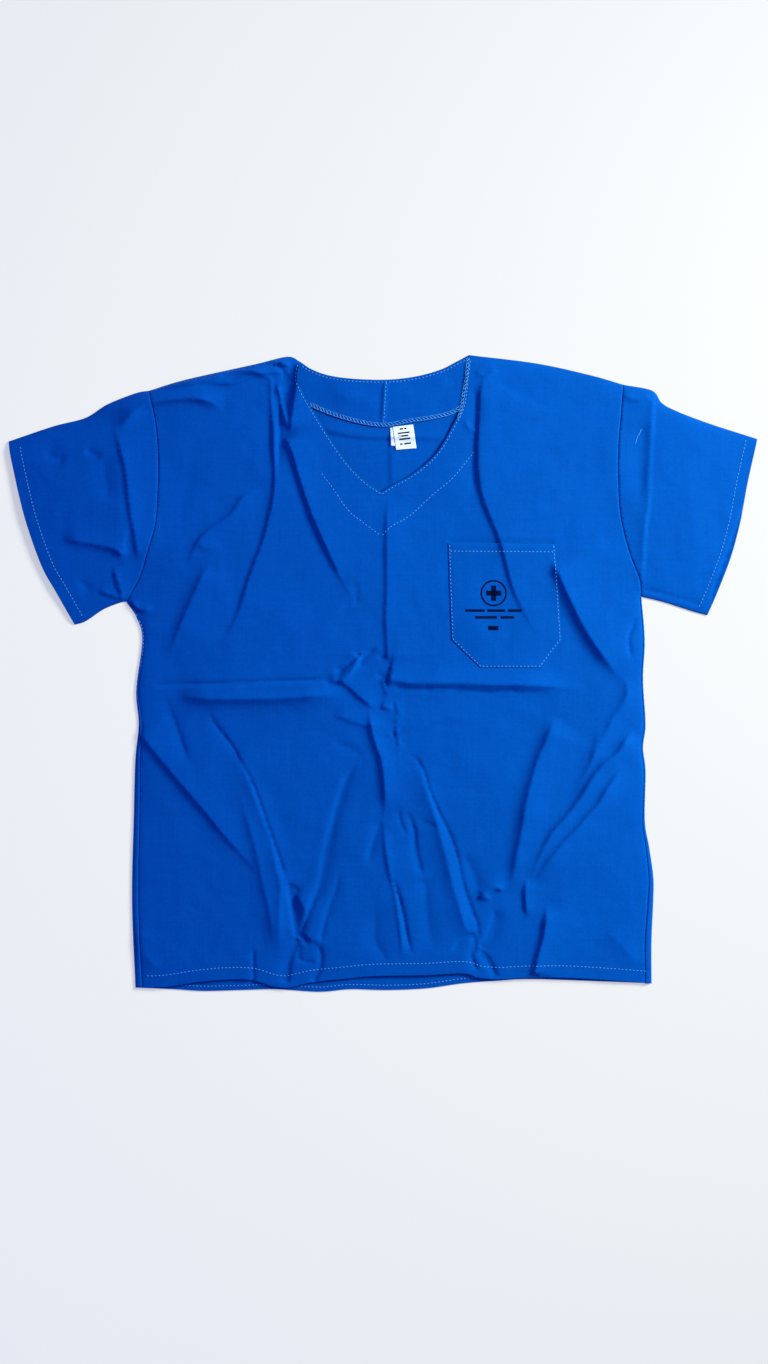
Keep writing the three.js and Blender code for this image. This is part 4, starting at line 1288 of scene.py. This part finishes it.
class GOWN_OT_neck_stitches(bpy.types.Operator):
    """Sew the rows round the neck, the overlocked edge and the seam of the back facing"""
    bl_idname = "gown.neck_stitches"
    bl_label = "Neck Stitches"

    def execute(self, context):
        front = Top(find("front_panel_cloth"))
        inside = Top(find("right_back_facing_cloth"), find("left_back_facing_cloth"))
        v_edge = np.vstack([smooth(NECK_RIGHT), smooth(NECK_LEFT)[1:]])
        sew("neck_topstitch_thread", [clipped(moved(v_edge, -2.4), 3, 3)], front, "torso", "neck_topstitch")
        sew("back_neck_topstitch_thread", [clipped(moved(smooth(NECK_BACK), -3.2), 3, 3)], inside, "torso",
            "back_neck_topstitch")
        right_row = moved(clipped(smooth(FACING_ROW_RIGHT), 126, 2), 1.5)
        left_row = moved(clipped(smooth(FACING_ROW_LEFT), 2, 38), 1.5)
        sew("facing_stitch_thread", [right_row, left_row], front, "torso", "facing_stitch")
        lower = clipped(smooth(FACING_LOWER), 62, 62)
        band = overlock("facing_overlock_thread", moved(lower, 2.6), inside, 3.8)
        dress(band, "thread", "facing_overlock")
        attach(band, "torso")
        lip_line = smooth([(101, 371), (99, 350), (95, 325), (92, 308), (89, 299)], 1.0)
        lip = overlock("neck_lip_thread", lip_line, front, 2.6)
        dress(lip, "thread")
        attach(lip, "torso")
        centre_seam = clipped(smooth(FACING_SEAM), 4, 2)
        sew("facing_centre_seam_thread", [centre_seam], inside, "torso", "facing_centre_seam")
        return {"FINISHED"}


class GOWN_OT_hem_stitches(bpy.types.Operator):
    """Sew the hems of the body and of the cuffs"""
    bl_idname = "gown.hem_stitches"
    bl_label = "Hem Stitches"

    def execute(self, context):
        sizes = context.scene.gown_sizes
        front, back = Top(find("front_panel_cloth")), Top(find("back_panel_cloth"))
        front_row = clipped(moved(smooth(HEM_FRONT), sizes.turned_hem), 12, 4)
        sew("front_hem_thread", [front_row], front, "torso", "front_hem_stitch")
        back_row = clipped(moved(smooth(HEM_BACK), sizes.turned_hem * 0.4), 12, 12)
        sew("back_hem_thread", [back_row], back, "torso", "back_hem_stitch")
        for side, cuff in (("left", CUFF_LEFT), ("right", CUFF_RIGHT)):
            row = clipped(moved(smooth(cuff), -sizes.cuff_hem), 3, 3)
            sew(f"{side}_cuff_thread", [row], Top(find(f"{side}_sleeve_cloth")), f"sleeve_{side}",
                f"{side}_cuff_stitch")
        return {"FINISHED"}


class GOWN_OT_pocket_stitches(bpy.types.Operator):
    """Sew the pocket on, with the hem of its mouth"""
    bl_idname = "gown.pocket_stitches"
    bl_label = "Pocket Stitches"

    def execute(self, context):
        top = Top(find("chest_pocket_cloth"))
        row = moved(straight(POCKET), 1.9)
        sew("pocket_edge_thread", [clipped(row, 1, 1)], top, "torso", "pocket_stitch")
        hem = straight([(79, 143.5), (202, 142.5)])
        sew("pocket_hem_thread", [hem], top, "torso", "pocket_hem_stitch")
        return {"FINISHED"}


SEAM_SUNK = 0.55  # how far a seam's thread is pulled into the cloth


class GOWN_OT_seams(bpy.types.Operator):
    """Sew the seams that join the panels and the sleeves"""
    bl_idname = "gown.seams"
    bl_label = "Seams"

    def execute(self, context):
        front = Top(find("front_panel_cloth"), find("left_sleeve_cloth"), find("right_sleeve_cloth"))
        sides = dict(zip(("left", "right"), sides_of_body()))
        armholes = {"left": ARMHOLE_LEFT, "right": ARMHOLE_RIGHT}
        shoulders = {"left": moved(smooth(SHOULDER_LEFT), -2.2), "right": moved(smooth(SHOULDER_RIGHT), -2.2)}
        unders = {"left": moved(smooth(UNDER_LEFT), -1.6), "right": moved(smooth(UNDER_RIGHT), -1.6)}
        for side in ("left", "right"):
            seams = (
                ("armhole", clipped(smooth(armholes[side]), 3, 3), "torso"),
                ("side", clipped(sides[side], 4, 4), "torso"),
                ("shoulder", clipped(shoulders[side], 6, 6), "torso"),
                ("underarm", clipped(unders[side], 3, 3), None),
            )
            for kind, row, body in seams:
                seam = f"{side}_{kind}_seam"
                made = sew(f"{seam}_thread", [row], front, body, seam, sunk=SEAM_SUNK)
                if body is None:
                    bend(made, side)
        self.loose_end(front)
        return {"FINISHED"}

    def loose_end(self, surface):
        """A short end of pale thread left on the seam."""
        xy = smooth([(305, 287), (303, 283), (300, 277), (298, 270)], 1.0)
        line = np.c_[xy, surface.heights(xy) + 0.35]
        points, faces = tubes([line], [np.full(len(line), 0.3)])
        made = piece("loose_thread_end", points, faces, thread_material())
        dress(made, "thread")
        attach(made, "torso")


# ---- The table, the light and the camera ----
FRAME_HEIGHT = 1.6095  # how much of the table the picture takes in, from top to bottom
CAMERA_HEIGHT = 2.3
PICTURE_CENTRE = (0.0018, -0.0106)
TABLE_LINES = np.linspace(-12000, 12000, 13)


class GOWN_OT_stage(bpy.types.Operator):
    """Lay out the pale table, the soft light and the camera above"""
    bl_idname = "gown.stage"
    bl_label = "Stage"

    def execute(self, context):
        self.table()
        self.light("key_light", (2.0, 0.95, 1.1), (0.0, 0.0, 0.0), 0.8, 150.0, (1.0, 0.985, 0.74))
        world = bpy.data.worlds.new("studio")
        world.use_nodes = True
        background = world.node_tree.nodes["Background"]
        background.inputs["Color"].default_value = (0.42, 0.5, 1.0, 1)
        background.inputs["Strength"].default_value = 0.66
        context.scene.world = world
        context.scene.view_settings.view_transform = "Standard"
        lens = bpy.data.cameras.new("camera")
        lens.sensor_fit = "VERTICAL"
        lens.sensor_height = 24.0
        lens.lens = 24.0 * CAMERA_HEIGHT / FRAME_HEIGHT
        camera = bpy.data.objects.new("camera", lens)
        camera.location = (*PICTURE_CENTRE, CAMERA_HEIGHT)
        context.scene.collection.objects.link(camera)
        context.scene.camera = camera
        return {"FINISHED"}

    def table(self):
        """A pale table top. Its colour is darker towards the light, so that it looks more even.

        It also glows a little, which a real table doesn't, to soften the shadows.
        """
        x, y = np.meshgrid(TABLE_LINES, TABLE_LINES)
        points = np.c_[x.ravel(), y.ravel(), np.zeros(x.size)]
        faces = grid_faces(len(TABLE_LINES), len(TABLE_LINES))
        material, tree, shader, place = new_material("table_top")
        split = tree.nodes.new("ShaderNodeSeparateXYZ")
        tree.links.new(place, split.inputs[0])
        towards_light = math_node(tree, "ADD", math_node(tree, "MULTIPLY", split.outputs["X"], 0.9),
                                  math_node(tree, "MULTIPLY", split.outputs["Y"], 0.43))
        share = spread_node(tree, towards_light, -0.7, 0.8)
        pale = shaded_between(tree, share, (0.42, 0.42, 0.40), (0.165, 0.172, 0.2))
        tree.links.new(pale, shader.inputs["Base Color"])
        shader.inputs["Emission Color"].default_value = (0.97, 0.985, 1.0, 1)
        shader.inputs["Emission Strength"].default_value = 0.47
        shader.inputs["Roughness"].default_value = 0.8
        piece("table", points, np.array(faces), material)

    def light(self, name, place, target, size, power, colour):
        """A round area light that points at the target."""
        lamp = bpy.data.lights.new(name, "AREA")
        lamp.shape = "DISK"
        lamp.size = size
        lamp.energy = power
        lamp.color = colour
        made = bpy.data.objects.new(name, lamp)
        made.location = place
        made.rotation_euler = (Vector(target) - Vector(place)).to_track_quat("-Z", "Y").to_euler()
        bpy.context.scene.collection.objects.link(made)


class GOWN_PT_panel(bpy.types.Panel):
    """The gown's sizes, colours and pieces"""
    bl_idname = "GOWN_PT_panel"
    bl_label = "Patient Gown"
    bl_space_type = "VIEW_3D"
    bl_region_type = "UI"
    bl_category = "Gown"

    def draw(self, context):
        for title, group in (("Sizes", context.scene.gown_sizes), ("Colours", context.scene.gown_colours)):
            box = self.layout.box()
            box.label(text=title)
            for name in group.__annotations__:
                box.prop(group, name)
        for operator in OPERATORS:
            self.layout.operator(operator.bl_idname)


OPERATORS = (
    GOWN_OT_stage,
    GOWN_OT_back_panel,
    GOWN_OT_back_facing,
    GOWN_OT_labels,
    GOWN_OT_front_facing,
    GOWN_OT_front_panel,
    GOWN_OT_sleeves,
    GOWN_OT_pocket,
    GOWN_OT_print,
    GOWN_OT_neck_stitches,
    GOWN_OT_hem_stitches,
    GOWN_OT_pocket_stitches,
    GOWN_OT_seams,
)
CLASSES = (GownSizes, GownColours, *OPERATORS, GOWN_PT_panel)


def register():
    for cls in CLASSES:
        bpy.utils.register_class(cls)
    bpy.types.Scene.gown_sizes = bpy.props.PointerProperty(type=GownSizes)
    bpy.types.Scene.gown_colours = bpy.props.PointerProperty(type=GownColours)


def unregister():
    del bpy.types.Scene.gown_colours
    del bpy.types.Scene.gown_sizes
    for cls in reversed(CLASSES):
        bpy.utils.unregister_class(cls)


def main():
    register()
    for operator in OPERATORS:
        group, name = operator.bl_idname.split(".")
        getattr(getattr(bpy.ops, group), name)()


if __name__ == "__main__":
    main()
